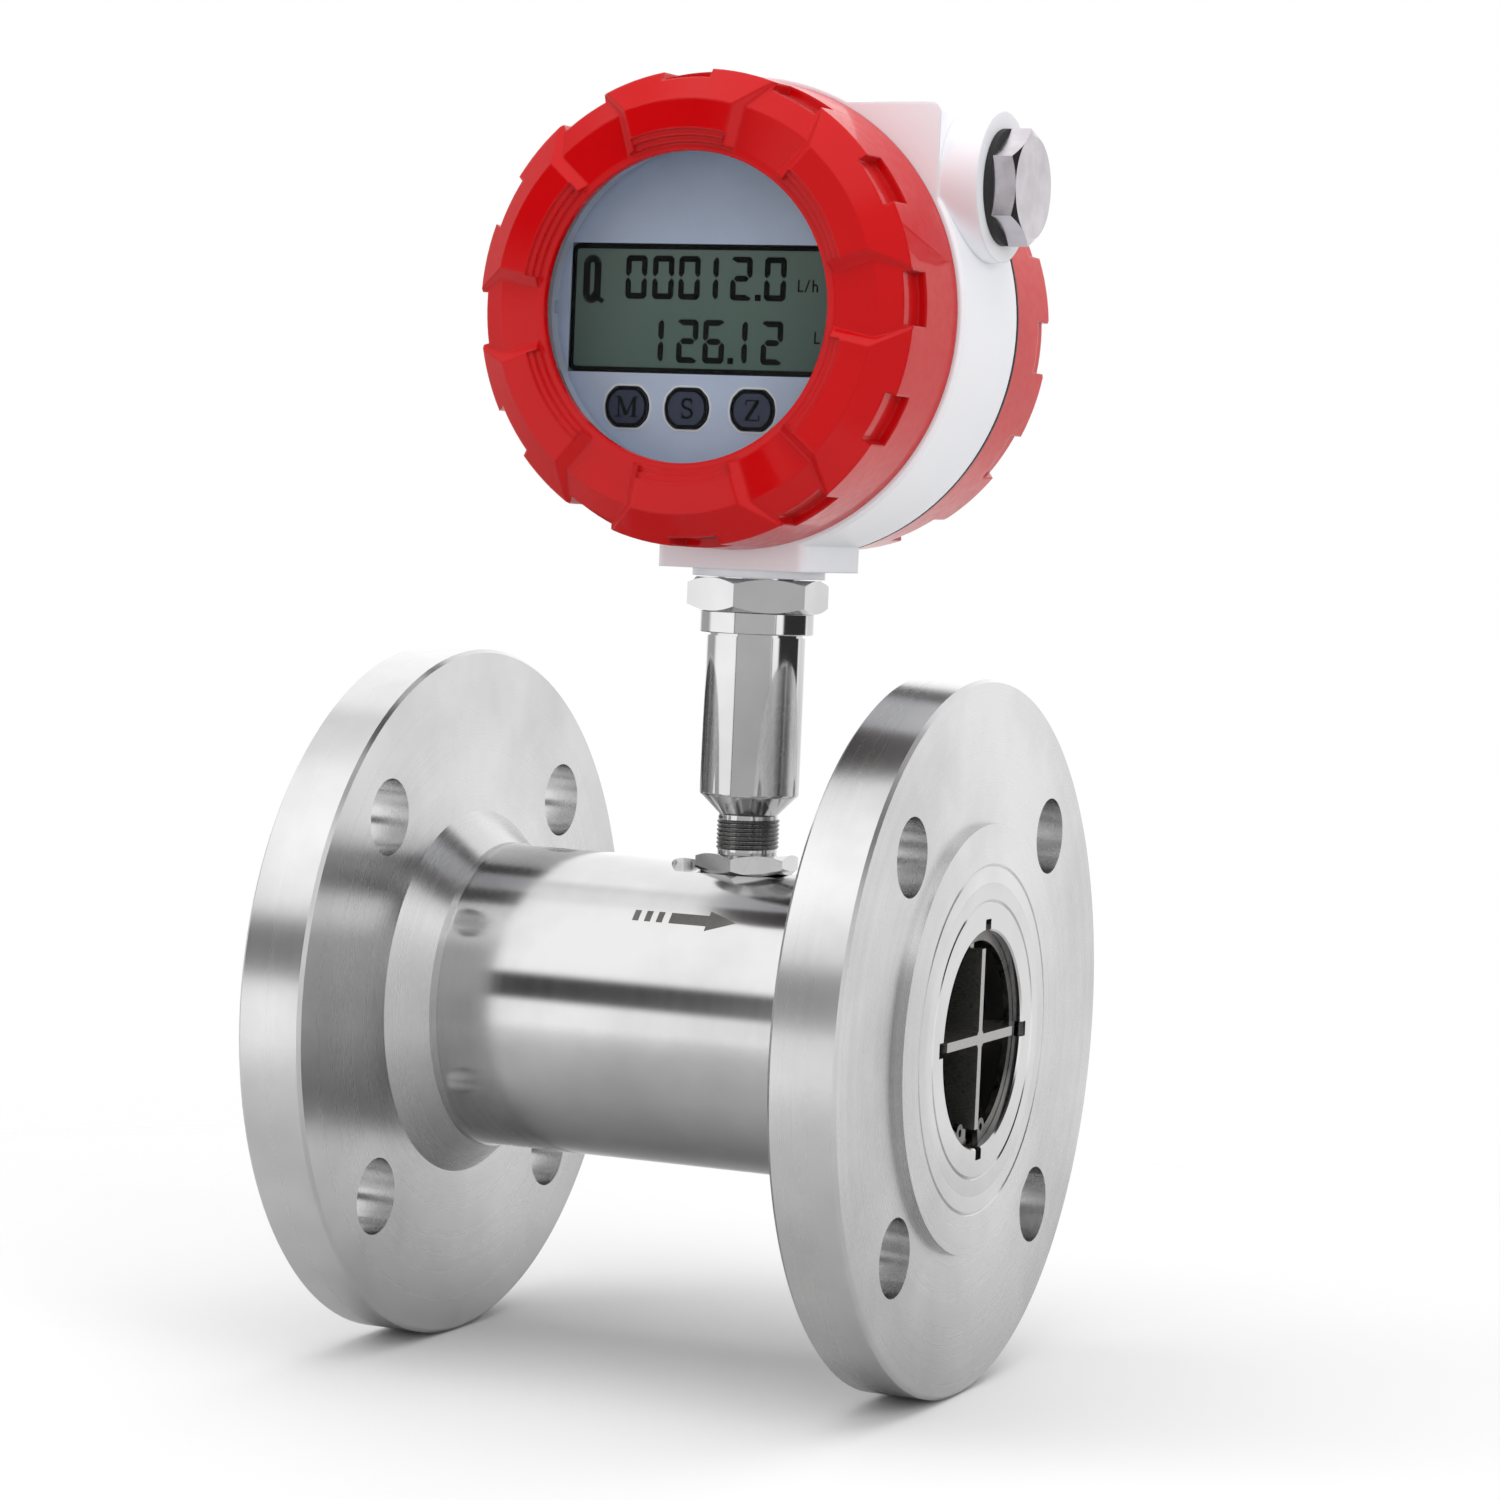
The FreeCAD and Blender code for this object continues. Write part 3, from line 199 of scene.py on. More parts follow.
class Finish(Graph):
    """A node material in the making: one principled shader and what feeds it."""

    def __init__(self, name, **values):
        self.material = bpy.data.materials.new(name)
        self.material.use_nodes = True
        super().__init__(self.material.node_tree)
        self.output = self.add("ShaderNodeOutputMaterial")
        self.shader = self.add("ShaderNodeBsdfPrincipled")
        self.show(self.shader.outputs["BSDF"])
        self.soft_edge = None
        for socket, value in values.items():
            self.shader.inputs[socket.replace("_", " ")].default_value = value

    def show(self, shader):
        self.link(shader, self.output.inputs["Surface"])

    def feed(self, socket, source):
        self.link(source, self.shader.inputs[socket])

    def toned(self, pattern, dark, light, span=NOISE_SPAN):
        """Colour that goes from a dark to a light tone with a pattern."""
        return self.colours(pattern, (span[0], painted(*dark)), (span[1], painted(*light)))

    def tint(self, pattern, dark, light, span=NOISE_SPAN):
        self.feed("Base Color", self.toned(pattern, dark, light, span))

    def roughen(self, pattern, low, high):
        self.feed("Roughness", self.map_range(pattern, NOISE_SPAN, (low, high)))

    def muted(self, colour, painted_mirror_shade):
        """A colour that shows as another one in mirrors: painted shade in the reflections of this surface, which
        keeps the steel's reflections calm.
        """
        node = self.add("ShaderNodeMix", data_type="RGBA")
        self.link(self.add("ShaderNodeLightPath").outputs["Is Glossy Ray"], node.inputs[MIX_SHARE])
        self.link(colour, node.inputs[MIX_COLOURS[0]])
        node.inputs[MIX_COLOURS[1]].default_value = painted_mirror_shade
        return node.outputs[MIXED_COLOUR]

    def round_edges(self, radius=0.8 * MM):
        """Shades sharp edges as if they were rounded."""
        node = self.add("ShaderNodeBevel", samples=6, Radius=radius)
        self.soft_edge = node.outputs["Normal"]

    def bump(self, height, strength, depth):
        """Relief from a pattern, on top of the rounded edges; its depth is in metres."""
        node = self.add("ShaderNodeBump", Strength=strength, Distance=depth)
        self.link(height, node.inputs["Height"])
        if self.soft_edge is not None:
            self.link(self.soft_edge, node.inputs["Normal"])
        self.feed("Normal", node.outputs["Normal"])

    def turned_place(self, axis, centre):
        """Coordinates that are constant along a turning tool's path: radius, height, 0."""
        shift = self.add("ShaderNodeVectorMath", operation="SUBTRACT")
        self.link(self.place(), shift.inputs[0])
        shift.inputs[1].default_value = centre
        x, y, z = self.parts(shift.outputs[0])
        across, height = ((y, z), x) if axis == "X" else ((x, y), z)
        joined = self.add("ShaderNodeCombineXYZ")
        self.link(self.distance(*across), joined.inputs[0])
        self.link(height, joined.inputs[1])
        return joined.outputs[0]


# ---- finishes ---------------------------------------------------------------
PIPE_CENTRE = (0, 0, 0)
STEM_CENTRE = (STEM.x, STEM.y, 0)


def turned_steel(name, axis, centre, shade, rough, lines, anisotropic, fine=2600):
    """Stainless steel with the fine rings that a lathe leaves round an axis."""
    finish = Finish(name, Metallic=1.0, Anisotropic=anisotropic, Anisotropic_Rotation=0.25)
    rings = finish.turned_place(axis, centre)
    fine_lines = finish.noise(fine, detail=2.0, rough=0.6, vector=rings)
    broad_lines = finish.noise(420, detail=3.0, rough=0.6, vector=rings)
    stains = finish.noise(22, detail=4.0, rough=0.55)
    finish.tint(stains, [shade * 0.9] * 3, [shade] * 3, (0.3, 0.62))
    finish.roughen(broad_lines, rough * 0.94, rough * 1.06)
    tangent = finish.add("ShaderNodeTangent", direction_type="RADIAL", axis=axis)
    finish.feed("Tangent", tangent.outputs[0])
    finish.bump(fine_lines, lines, 0.04 * MM)
    return finish.material


def steel_flange():
    return turned_steel("Turned flange steel", "X", PIPE_CENTRE, shade=224, rough=0.27, lines=0.06,
                        anisotropic=0.75, fine=1500)


def steel_tube():
    return turned_steel("Turned tube steel", "X", PIPE_CENTRE, shade=212, rough=0.14, lines=0.02,
                        anisotropic=0.3)


def steel_stem():
    return turned_steel("Turned stem steel", "Z", STEM_CENTRE, shade=212, rough=0.09, lines=0.03,
                        anisotropic=0.2)


def steel_inner():
    finish = Finish("Milled inner steel", Metallic=1.0)
    marks = finish.noise(900, detail=3.0, rough=0.6, stretch=(1, 6, 6))
    finish.tint(marks, (150, 149, 146), (196, 195, 192))
    finish.roughen(marks, 0.24, 0.42)
    finish.bump(marks, 0.2, 0.03 * MM)
    return finish.material


def spring_steel():
    finish = Finish("Spring steel", Metallic=1.0)
    film = finish.noise(260, detail=4.0, rough=0.6)
    finish.tint(film, (84, 84, 88), (132, 130, 126), (0.35, 0.65))
    finish.roughen(film, 0.22, 0.4)
    return finish.material


def nickel_plate():
    finish = Finish("Nickel plate", Metallic=1.0)
    cloud = finish.noise(120, detail=3.0, rough=0.55)
    finish.tint(cloud, (186, 180, 186), (212, 207, 212))
    finish.roughen(cloud, 0.12, 0.24)
    finish.bump(finish.noise(1800), 0.12, 0.03 * MM)
    return finish.material


def carbide():
    finish = Finish("Carbide", Metallic=1.0)
    grain = finish.noise(4000)
    finish.tint(grain, (98, 100, 104), (128, 130, 134))
    finish.roughen(grain, 0.14, 0.26)
    return finish.material


def red_paint():
    finish = Finish("Red gloss paint", Coat_Weight=0.42, Coat_Roughness=0.03, Specular_IOR_Level=0.05)
    finish.round_edges()
    cloud = finish.noise(26, detail=3.0)
    peel = finish.noise(420, detail=1.0, rough=0.4)
    paint = finish.toned(cloud, (196, 0, 5), (208, 2, 9), (0.25, 0.75))
    # Mirrors see the red paint near black: painted shade in the steel's reflections of the covers.
    finish.feed("Base Color", finish.muted(paint, (0.09, 0.08, 0.08, 1)))
    finish.roughen(peel, 0.3, 0.4)
    finish.bump(peel, 0.01, 0.1 * MM)
    finish.feed("Coat Normal", finish.soft_edge)
    return finish.material


def white_paint():
    finish = Finish("White powder coat", Coat_Weight=0.15, Coat_Roughness=0.2)
    finish.round_edges()
    cloud = finish.noise(18, detail=3.0)
    peel = finish.noise(900, detail=2.0, rough=0.55)
    finish.tint(cloud, (244, 245, 250), (250, 250, 254))
    finish.roughen(peel, 0.42, 0.55)
    finish.bump(peel, 0.06, 0.1 * MM)
    return finish.material


def black_rubber():
    finish = Finish("Black rubber")
    grain = finish.noise(1500, detail=3.0)
    finish.tint(grain, (20, 20, 21), (38, 38, 39))
    finish.roughen(grain, 0.5, 0.72)
    finish.bump(grain, 0.2, 0.05 * MM)
    return finish.material


def clear_glass():
    """Window glass that lets the light through straight and shines only at a slant."""
    finish = Finish("Window glass", Base_Color=(0.0, 0.0, 0.0, 1), Roughness=0.03, IOR=1.5)
    clear = finish.add("ShaderNodeBsdfTransparent", Color=(0.99, 0.995, 0.99, 1))
    slant = finish.add("ShaderNodeLayerWeight", Blend=0.25)
    smear = finish.noise(45, detail=4.0, rough=0.6)
    share = finish.compute("ADD", finish.compute("MULTIPLY", slant.outputs["Facing"], 0.5),
                           finish.compute("MULTIPLY", smear, 0.1))
    finish.show(finish.mix_shaders(share, clear.outputs[0], finish.shader.outputs[0]))
    return finish.material


def label_foil():
    finish = Finish("Pale blue face foil")
    cloud = finish.noise(30, detail=3.0)
    fleck = finish.noise(2600)
    both = finish.compute("MULTIPLY", finish.compute("ADD", cloud, fleck), 0.5)
    finish.tint(both, (204, 219, 248), (212, 227, 253))
    finish.roughen(fleck, 0.36, 0.52)
    finish.bump(fleck, 0.1, 0.03 * MM)
    return finish.material


def lcd_screen():
    """Grey-green screen that is a little darker at the foot."""
    finish = Finish("Display screen", Specular_IOR_Level=0.1)
    cloud = finish.noise(16, detail=2.0, rough=0.4)
    grain = finish.noise(3200, detail=1.0)
    height = finish.parts(finish.place())[2]
    fade = finish.map_range(height, (HEAD.z - 16 * MM, HEAD.z + 14 * MM), (0.0, 1.0))
    tone = finish.compute("ADD", finish.compute("MULTIPLY", fade, 0.8),
                          finish.compute("MULTIPLY", cloud, 0.2))
    finish.tint(tone, (94, 117, 110), (112, 130, 123), (0.1, 0.9))
    finish.roughen(grain, 0.2, 0.32)
    return finish.material


def copper_winding():
    finish = Finish("Copper winding", Metallic=1.0, Roughness=0.35)
    rings = finish.turned_place("Z", STEM_CENTRE)
    turns = finish.noise(2600, detail=1.0, rough=0.4, stretch=(0, 1, 0), vector=rings)
    finish.tint(turns, (112, 54, 30), (204, 116, 72))
    finish.bump(turns, 0.5, 0.1 * MM)
    return finish.material


def plain_grained(name, dark, light, rough, scale=900, **values):
    """A moulded or cast finish with a fine grain in its colour, gloss and relief."""
    finish = Finish(name, **values)
    grain = finish.noise(scale, detail=3.0)
    cloud = finish.noise(scale / 20, detail=2.0)
    both = finish.compute("MULTIPLY", finish.compute("ADD", grain, cloud), 0.5)
    finish.tint(both, dark, light)
    finish.roughen(grain, rough * 0.8, rough * 1.2)
    finish.bump(grain, 0.15, 0.05 * MM)
    return finish.material


SPECIAL_FINISHES = {
    "steel_flange": steel_flange, "steel_tube": steel_tube, "steel_stem": steel_stem,
    "steel_inner": steel_inner, "spring_steel": spring_steel, "nickel": nickel_plate, "carbide": carbide,
    "red_paint": red_paint, "white_paint": white_paint, "black_rubber": black_rubber,
    "clear_glass": clear_glass, "label_grey": label_foil, "lcd_grey": lcd_screen,
    "copper_coil": copper_winding,
}
PLAIN_FINISHES = {
    "key_slate": dict(name="Slate key rubber", dark=(48, 55, 80), light=(60, 68, 94), rough=0.5),
    "ink_black": dict(name="Display ink", dark=(8, 10, 10), light=(14, 16, 16), rough=0.6, scale=1500,
                      Specular_IOR_Level=0.05),
    "print_white": dict(name="Pale print", dark=(246, 248, 252), light=(252, 253, 255), rough=0.45, scale=1500),
    "pale_retainer": dict(name="Painted retainer", dark=(190, 198, 216), light=(202, 210, 228), rough=0.55,
                          scale=1200),
    "grey_gasket": dict(name="Grey gasket", dark=(96, 100, 112), light=(112, 116, 128), rough=0.6, scale=1500),
    "dark_thread": dict(name="Cut thread steel", dark=(70, 70, 72), light=(120, 119, 117), rough=0.3, scale=2400,
                        Metallic=1.0),
    "etched_grey": dict(name="Laser mark", dark=(96, 94, 92), light=(132, 130, 127), rough=0.5, scale=2600,
                        Metallic=0.6),
    "board_green": dict(name="Circuit board", dark=(16, 66, 38), light=(26, 88, 50), rough=0.35),
    "black_plastic": dict(name="Black moulding", dark=(22, 22, 24), light=(36, 36, 38), rough=0.42),
    "brass_plain": dict(name="Brass", dark=(176, 142, 74), light=(206, 172, 98), rough=0.28, scale=700,
                        Metallic=1.0),
    "aluminium_ring": dict(name="Turned aluminium", dark=(166, 168, 170), light=(196, 198, 200), rough=0.3,
                           scale=1200, Metallic=1.0),
    "magnet_grey": dict(name="Magnet", dark=(96, 96, 100), light=(124, 124, 128), rough=0.35, scale=1500,
                        Metallic=1.0),
}
made = {}


def finish_named(name):
    """The material of a finish, made when it is first asked for."""
    if name not in made:
        if name in PLAIN_FINISHES:
            made[name] = plain_grained(**PLAIN_FINISHES[name])
        else:
            made[name] = SPECIAL_FINISHES[name]()
    return made[name]


def dress(node, name):
    """Gives a CAD node one of the finishes."""
    materials = nodes[node].data.materials
    if not len(materials):
        materials.append(finish_named(name))
    for place in range(len(materials)):
        materials[place] = finish_named(name)


# ---- mesh making ------------------------------------------------------------
def new_object(name, data):
    item = bpy.data.objects.new(name, data)
    bpy.context.scene.collection.objects.link(item)
    return item


def piece(name, points, faces, finish, body, slot, smooth=False):
    """A new object from points and faces that rides on a body."""
    mesh = bpy.data.meshes.new(name)
    mesh.from_pydata([tuple(point) for point in points], [], faces)
    mesh.validate()
    mesh.materials.append(finish_named(finish))
    mesh.polygons.foreach_set("use_smooth", [smooth] * len(mesh.polygons))
    made_piece = new_object(name, mesh)
    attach(made_piece, body)


def slab(outlines, place, depth):
    """Points and faces of flat plates: outlines in (u, v), place(u, v, layer) gives the point."""
    points, faces = [], []
    for outline in outlines:
        start = len(points)
        count = len(outline)
        for layer in (0, depth):
            points += [place(u, v, layer) for u, v in outline]
        faces.append([start + k for k in range(count)])
        faces.append([start + count + k for k in reversed(range(count))])
        for k in range(count):
            n = (k + 1) % count
            faces.append([start + n, start + k, start + count + k, start + count + n])
    return points, faces


def ring(outer, inner, place, depth):
    """Points and faces of a flat frame between two outlines of the same count."""
    count = len(outer)
    points = []
    for layer in (0, depth):
        for outline in (outer, inner):
            points += [place(u, v, layer) for u, v in outline]
    faces = []
    for k in range(count):
        n = (k + 1) % count
        faces.append([k, n, count + n, count + k])
        faces.append([2 * count + n, 2 * count + k, 3 * count + k, 3 * count + n])
        faces.append([n, k, 2 * count + k, 2 * count + n])
        faces.append([count + k, count + n, 3 * count + n, 3 * count + k])
    return points, faces


# Share of its own thickness that a print stands clear of the face it is on
LIFT = 0.25


def print_on(across, front, up, skin):
    """Place function for a print on a flat face that looks to -Y, about a point on that face."""
    def place(u, v, layer):
        return (across + u, front - skin * LIFT - layer, up + v)
    return place


# ---- outlines ---------------------------------------------------------------
def arc(centre_u, centre_v, radius_u, radius_v, start, end, steps=10):
    """Points on part of an ellipse, from one direction to another in degrees."""
    points = []
    for k in range(steps + 1):
        angle = math.radians(start + (end - start) * k / steps)
        points.append((centre_u + radius_u * math.cos(angle), centre_v + radius_v * math.sin(angle)))
    return points


def rounded_box(left, right, bottom, top, radius):
    """Outline of a rectangle with round corners."""
    outline = []
    for u, v, start in ((right - radius, top - radius, 0), (left + radius, top - radius, 90),
                        (left + radius, bottom + radius, 180), (right - radius, bottom + radius, 270)):
        outline += arc(u, v, radius, radius, start, start + 90, 5)
    return outline


# The bars that each digit shows
SEGMENTS = {"0": "abcdef", "1": "ij", "2": "abged", "6": "afgedc"}


def digit_outlines(mark, centre, bottom, width, height, stroke):
    """Seven-segment digit about a centre line, or a full stop, as flat outlines."""
    if mark == ".":
        half = stroke * 0.52
        return [[(centre - half, bottom), (centre + half, bottom), (centre + half, bottom + 2 * half),
                 (centre - half, bottom + 2 * half)]]
    gap = stroke * 0.1
    half = stroke / 2
    soft = stroke * 0.45
    middle_v = height / 2
    left = centre - width / 2

    def flat_bar(v):
        """Bar along the foot, its outer corners cut off."""
        return [(gap + soft, v - half), (width - gap - soft, v - half), (width - gap, v - half + soft),
                (width - gap - half, v + half * 0.3), (width - gap - stroke, v + half),
                (gap + stroke, v + half), (gap + half, v + half * 0.3), (gap, v - half + soft)]

    def middle_bar(v):
        """Bar across the middle, pointed at both ends."""
        return [(gap + half, v), (gap + stroke, v - half), (width - gap - stroke, v - half),
                (width - gap - half, v), (width - gap - stroke, v + half), (gap + stroke, v + half)]

    def upright(u, v0, v1, side):
        """Bar along the height; side is 1 at the right."""
        inner = u - side * stroke
        slant = stroke * 0.7
        return [(u, v0 + gap + soft), (u, v1 - gap - soft), (u - side * soft, v1 - gap),
                (inner, v1 - gap - slant), (inner, v0 + gap + slant), (u - side * soft, v0 + gap)]

    bars = {
        "a": [(u, height - v) for u, v in flat_bar(half)],
        "d": flat_bar(half),
        "g": middle_bar(middle_v),
        "b": upright(width, middle_v, height, 1),
        "c": upright(width, 0, middle_v, 1),
        "f": upright(0, middle_v, height, -1),
        "e": upright(0, 0, middle_v, -1),
        "i": upright(width / 2 + half, middle_v, height, 1),
        "j": upright(width / 2 + half, 0, middle_v, 1),
    }
    return [[(left + u, bottom + v) for u, v in bars[bar]] for bar in SEGMENTS[mark]]


# Letters 1 high, from u = 0: the strokes of each as (points along it, its width)
LETTERS = {
    "M": (([(0.16, 0.04), (0.16, 0.96)], 0.07), ([(0.18, 0.96), (0.5, 0.1)], 0.15),
          ([(0.5, 0.1), (0.82, 0.96)], 0.07), ([(0.84, 0.04), (0.84, 0.96)], 0.15),
          ([(0.02, 0.03), (0.3, 0.03)], 0.06), ([(0.68, 0.03), (1.0, 0.03)], 0.06),
          ([(0.02, 0.97), (0.24, 0.97)], 0.06), ([(0.78, 0.97), (1.0, 0.97)], 0.06)),
    "S": ((arc(0.3, 0.73, 0.2, 0.23, 35, 270), 0.12), (arc(0.3, 0.27, 0.22, 0.23, 90, -145), 0.12),
          ([(0.49, 0.98), (0.49, 0.7)], 0.05), ([(0.09, 0.3), (0.09, 0.02)], 0.05)),
    "Z": (([(0.06, 0.97), (0.62, 0.97)], 0.06), ([(0.04, 0.03), (0.66, 0.03)], 0.06),
          ([(0.58, 0.95), (0.1, 0.05)], 0.16), ([(0.07, 0.98), (0.07, 0.74)], 0.05),
          ([(0.64, 0.02), (0.64, 0.28)], 0.05)),
    "Q": ((arc(0.22, 0.83, 0.13, 0.12, 0, 180), 0.16), ([(0.09, 0.85), (0.09, 0.17)], 0.16),
          ([(0.35, 0.85), (0.35, 0.17)], 0.16), (arc(0.22, 0.19, 0.13, 0.12, 180, 360), 0.16),
          ([(0.22, 0.2), (0.5, 0.03)], 0.1)),
    "L": (([(0.07, 0.0), (0.07, 1.0)], 0.14), ([(0.0, 0.07), (0.5, 0.07)], 0.14)),
    "/": (([(0.02, 0.0), (0.38, 1.0)], 0.12),),
    "h": (([(0.07, 0.0), (0.07, 1.0)], 0.14), (arc(0.26, 0.4, 0.19, 0.2, 180, 0), 0.13),
          ([(0.45, 0.0), (0.45, 0.42)], 0.14)),
}


def stroke_outline(start, end, width):
    """Outline of a straight stroke between two points."""
    (u0, v0), (u1, v1) = start, end
    length = math.hypot(u1 - u0, v1 - v0)
    side_u, side_v = -(v1 - v0) / length * width / 2, (u1 - u0) / length * width / 2
    return [(u0 + side_u, v0 + side_v), (u1 + side_u, v1 + side_v),
            (u1 - side_u, v1 - side_v), (u0 - side_u, v0 - side_v)]


def letter_outlines(text, tall, step=0.0, stretch=1.0):
    """Flat outlines of a word about 0, 0; step is the way from letter to letter."""
    wide = tall * stretch
    last_width = max(u for points, width in LETTERS[text[-1]] for u, v in points) * wide
    start = -(step * (len(text) - 1) + last_width) / 2
    outlines = []
    for number, letter in enumerate(text):
        for points, width in LETTERS[letter]:
            for first, second in zip(points, points[1:]):
                outlines.append([(start + number * step + u * wide, (v - 0.5) * tall)
                                 for u, v in stroke_outline(first, second, width)])
    return outlines


FRONT_DEPTH = 0.05 * MM


def front_outline(node):
    """How far forward a node's front face is, and its outline in turn round its middle."""
    item = nodes[node]
    points = [item.matrix_world @ vertex.co for vertex in item.data.vertices]
    front = min(point.y for point in points)
    centre = middle(node)
    around = {}
    for point in points:
        if point.y < front + FRONT_DEPTH:
            across, up = point.x - centre.x, point.z - centre.z
            if (across, up) not in around.values():
                around[round(math.degrees(math.atan2(up, across)))] = (across, up)
    return front, [around[angle] for angle in sorted(around)]


def grown(outline, distance):
    """A convex outline about 0, 0 pushed outwards."""
    result = []
    for u, v in outline:
        reach = math.hypot(u, v)
        result.append((u * (reach + distance) / reach, v * (reach + distance) / reach))
    return result


# ---- settings ---------------------------------------------------------------
class DisplaySettings(bpy.types.PropertyGroup):
    digit_height: bpy.props.FloatProperty(name="Digit height", description="Height of the display's digits",
                                          default=9.8 * MM, unit="LENGTH")
    digit_width: bpy.props.FloatProperty(name="Digit width", description="Width of the display's digits",
                                         default=5.3 * MM, unit="LENGTH")
    stroke: bpy.props.FloatProperty(name="Stroke", description="Width of one segment",
                                    default=1.35 * MM, unit="LENGTH")


class ThreadSettings(bpy.types.PropertyGroup):
    pitch: bpy.props.FloatProperty(name="Pitch", description="Rise of the stem thread in one turn",
                                   default=1.0 * MM, unit="LENGTH")
    depth: bpy.props.FloatProperty(name="Depth", description="Height of the thread's crest",
                                   default=0.34 * MM, unit="LENGTH")


class StudioSettings(bpy.types.PropertyGroup):
    floor_colour: bpy.props.FloatVectorProperty(name="Floor", description="Colour of the floor", size=3,
                                                default=(0.9, 0.9, 0.9), subtype="COLOR")
    lens: bpy.props.FloatProperty(name="Lens", description="Focal length of the camera in millimetres",
                                  default=98.8, unit="CAMERA")


# ---- steelwork --------------------------------------------------------------
# Nodes whose finish isn't the one of their slot
OWN_FINISH = {
    "inlet_flange": "steel_flange", "outlet_flange": "steel_flange", "body_tube": "steel_tube",
    "stem_tube": "steel_stem", "lock_nut": "steel_stem", "union_nut": "steel_stem",
    "glass_retainer": "pale_retainer", "glass_gasket": "grey_gasket",
}


class METER_OT_steelwork(bpy.types.Operator):
    """Finishes the pipe, flanges, stem, head and inner parts"""

    bl_idname = "meter.steelwork"
    bl_label = "Steelwork"

    def execute(self, context):
        for row in frame["record"]["subparts"]:
            node = row["node"]
            dress(node, OWN_FINISH.get(node, row["material_slot"]))
        return {"FINISHED"}


# ---- display and keys -------------------------------------------------------
DISPLAY_SKIN = 0.06 * MM
DISPLAY_EDGE = 1.1 * MM
EDGE_CORNERS = (1.6 * MM, 0.8 * MM)
UPPER_DROP = 2.5 * MM
LOWER_FOOT = 2.3 * MM
# Digits on the display: (mark, its centre from the display's left edge in mm)
UPPER_ROW = (("0", 16.2), ("0", 22.9), ("0", 29.4), ("1", 35.9), ("2", 42.2), (".", 46.4), ("0", 50.5))
LOWER_ROW = (("1", 22.9), ("2", 29.5), ("6", 36.0), (".", 40.3), ("1", 43.6), ("2", 50.3))
# Words on the display: (text, centre across, centre up from the bottom, height, letter step), in mm
UNIT_MARKS = (("Q", 5.4, 20.7, 10.6, 0.0), ("L/h", 58.4, 20.0, 2.7, 1.75), ("L", 61.2, 8.6, 2.7, 0.0))


class METER_OT_display(bpy.types.Operator):
    """Makes the display's frame, digits and unit marks"""

    bl_idname = "meter.display"
    bl_label = "Display"

    def execute(self, context):
        settings = context.scene.meter_display
        (left, front, bottom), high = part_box("lcd_module")
        width, height = high[0] - left, high[2] - bottom
        on_glass = print_on(left, front, bottom, DISPLAY_SKIN)
        outer_corner, inner_corner = EDGE_CORNERS
        outer = rounded_box(0, width, 0, height, outer_corner)
        inner = rounded_box(DISPLAY_EDGE, width - DISPLAY_EDGE, DISPLAY_EDGE, height - DISPLAY_EDGE, inner_corner)
        piece("display_edge", *ring(outer, inner, on_glass, DISPLAY_SKIN), "ink_black", "head", "lcd_grey")
        tall, wide, stroke = settings.digit_height, settings.digit_width, settings.stroke
        digits = []
        for row, foot in ((UPPER_ROW, height - UPPER_DROP - tall), (LOWER_ROW, LOWER_FOOT)):
            for mark, centre in row:
                digits += digit_outlines(mark, centre * MM, foot, wide, tall, stroke)
        piece("display_digits", *slab(digits, on_glass, DISPLAY_SKIN), "ink_black", "head", "lcd_grey")
        units = []
        for text, across, up, size, step in UNIT_MARKS:
            for outline in letter_outlines(text, size * MM, step * MM):
                units.append([(across * MM + u, up * MM + v) for u, v in outline])
        piece("display_units", *slab(units, on_glass, DISPLAY_SKIN), "ink_black", "head", "lcd_grey")
        return {"FINISHED"}


KEY_SKIN = 0.05 * MM
KEY_RIM = 0.75 * MM
KEY_LETTER_HEIGHT = 4.7 * MM
KEY_LETTER_STRETCH = 1.2
# The pale line on the face plate, out from a key's outline
HALO_OUTER = 0.85 * MM
HALO_INNER = 0.4 * MM
# (CAD node, body, letter)
KEYS = (("key_m", "menu_key", "M"), ("key_s", "set_key", "S"), ("key_z", "zero_key", "Z"))


class METER_OT_key_marks(bpy.types.Operator):
    """Prints the keys' letters and rims, and a pale line round each key on the face plate"""

    bl_idname = "meter.key_marks"
    bl_label = "Key marks"

    def execute(self, context):
        plate_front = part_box("face_plate")[0][1]
        for node, body, letter in KEYS:
            centre = middle(node)
            front, outline = front_outline(node)
            on_key = print_on(centre.x, front, centre.z, KEY_SKIN)
            on_plate = print_on(centre.x, plate_front, centre.z, KEY_SKIN)
            rim = ring(outline, grown(outline, -KEY_RIM), on_key, KEY_SKIN)
            mark = slab(letter_outlines(letter, KEY_LETTER_HEIGHT, stretch=KEY_LETTER_STRETCH), on_key, KEY_SKIN)
            halo = ring(grown(outline, HALO_OUTER), grown(outline, HALO_INNER), on_plate, KEY_SKIN)
            name = letter.lower()
            piece(name + "_rim", *rim, "ink_black", body, "key_slate")
            piece(name + "_letter", *mark, "ink_black", body, "key_slate")
            piece(name + "_halo", *halo, "print_white", "head", "label_grey")
        return {"FINISHED"}


# ---- stem thread ------------------------------------------------------------
THREAD_STEPS = 48
THREAD_LENGTH = 8.7 * MM
THREAD_START = 0.1 * MM
THREAD_ROOT = 6.98 * MM
# One thread in section: (share of the pitch, share of the depth)
THREAD_SECTION = ((0.0, 0.0), (0.42, 1.0), (0.58, 1.0), (1.0, 0.0))


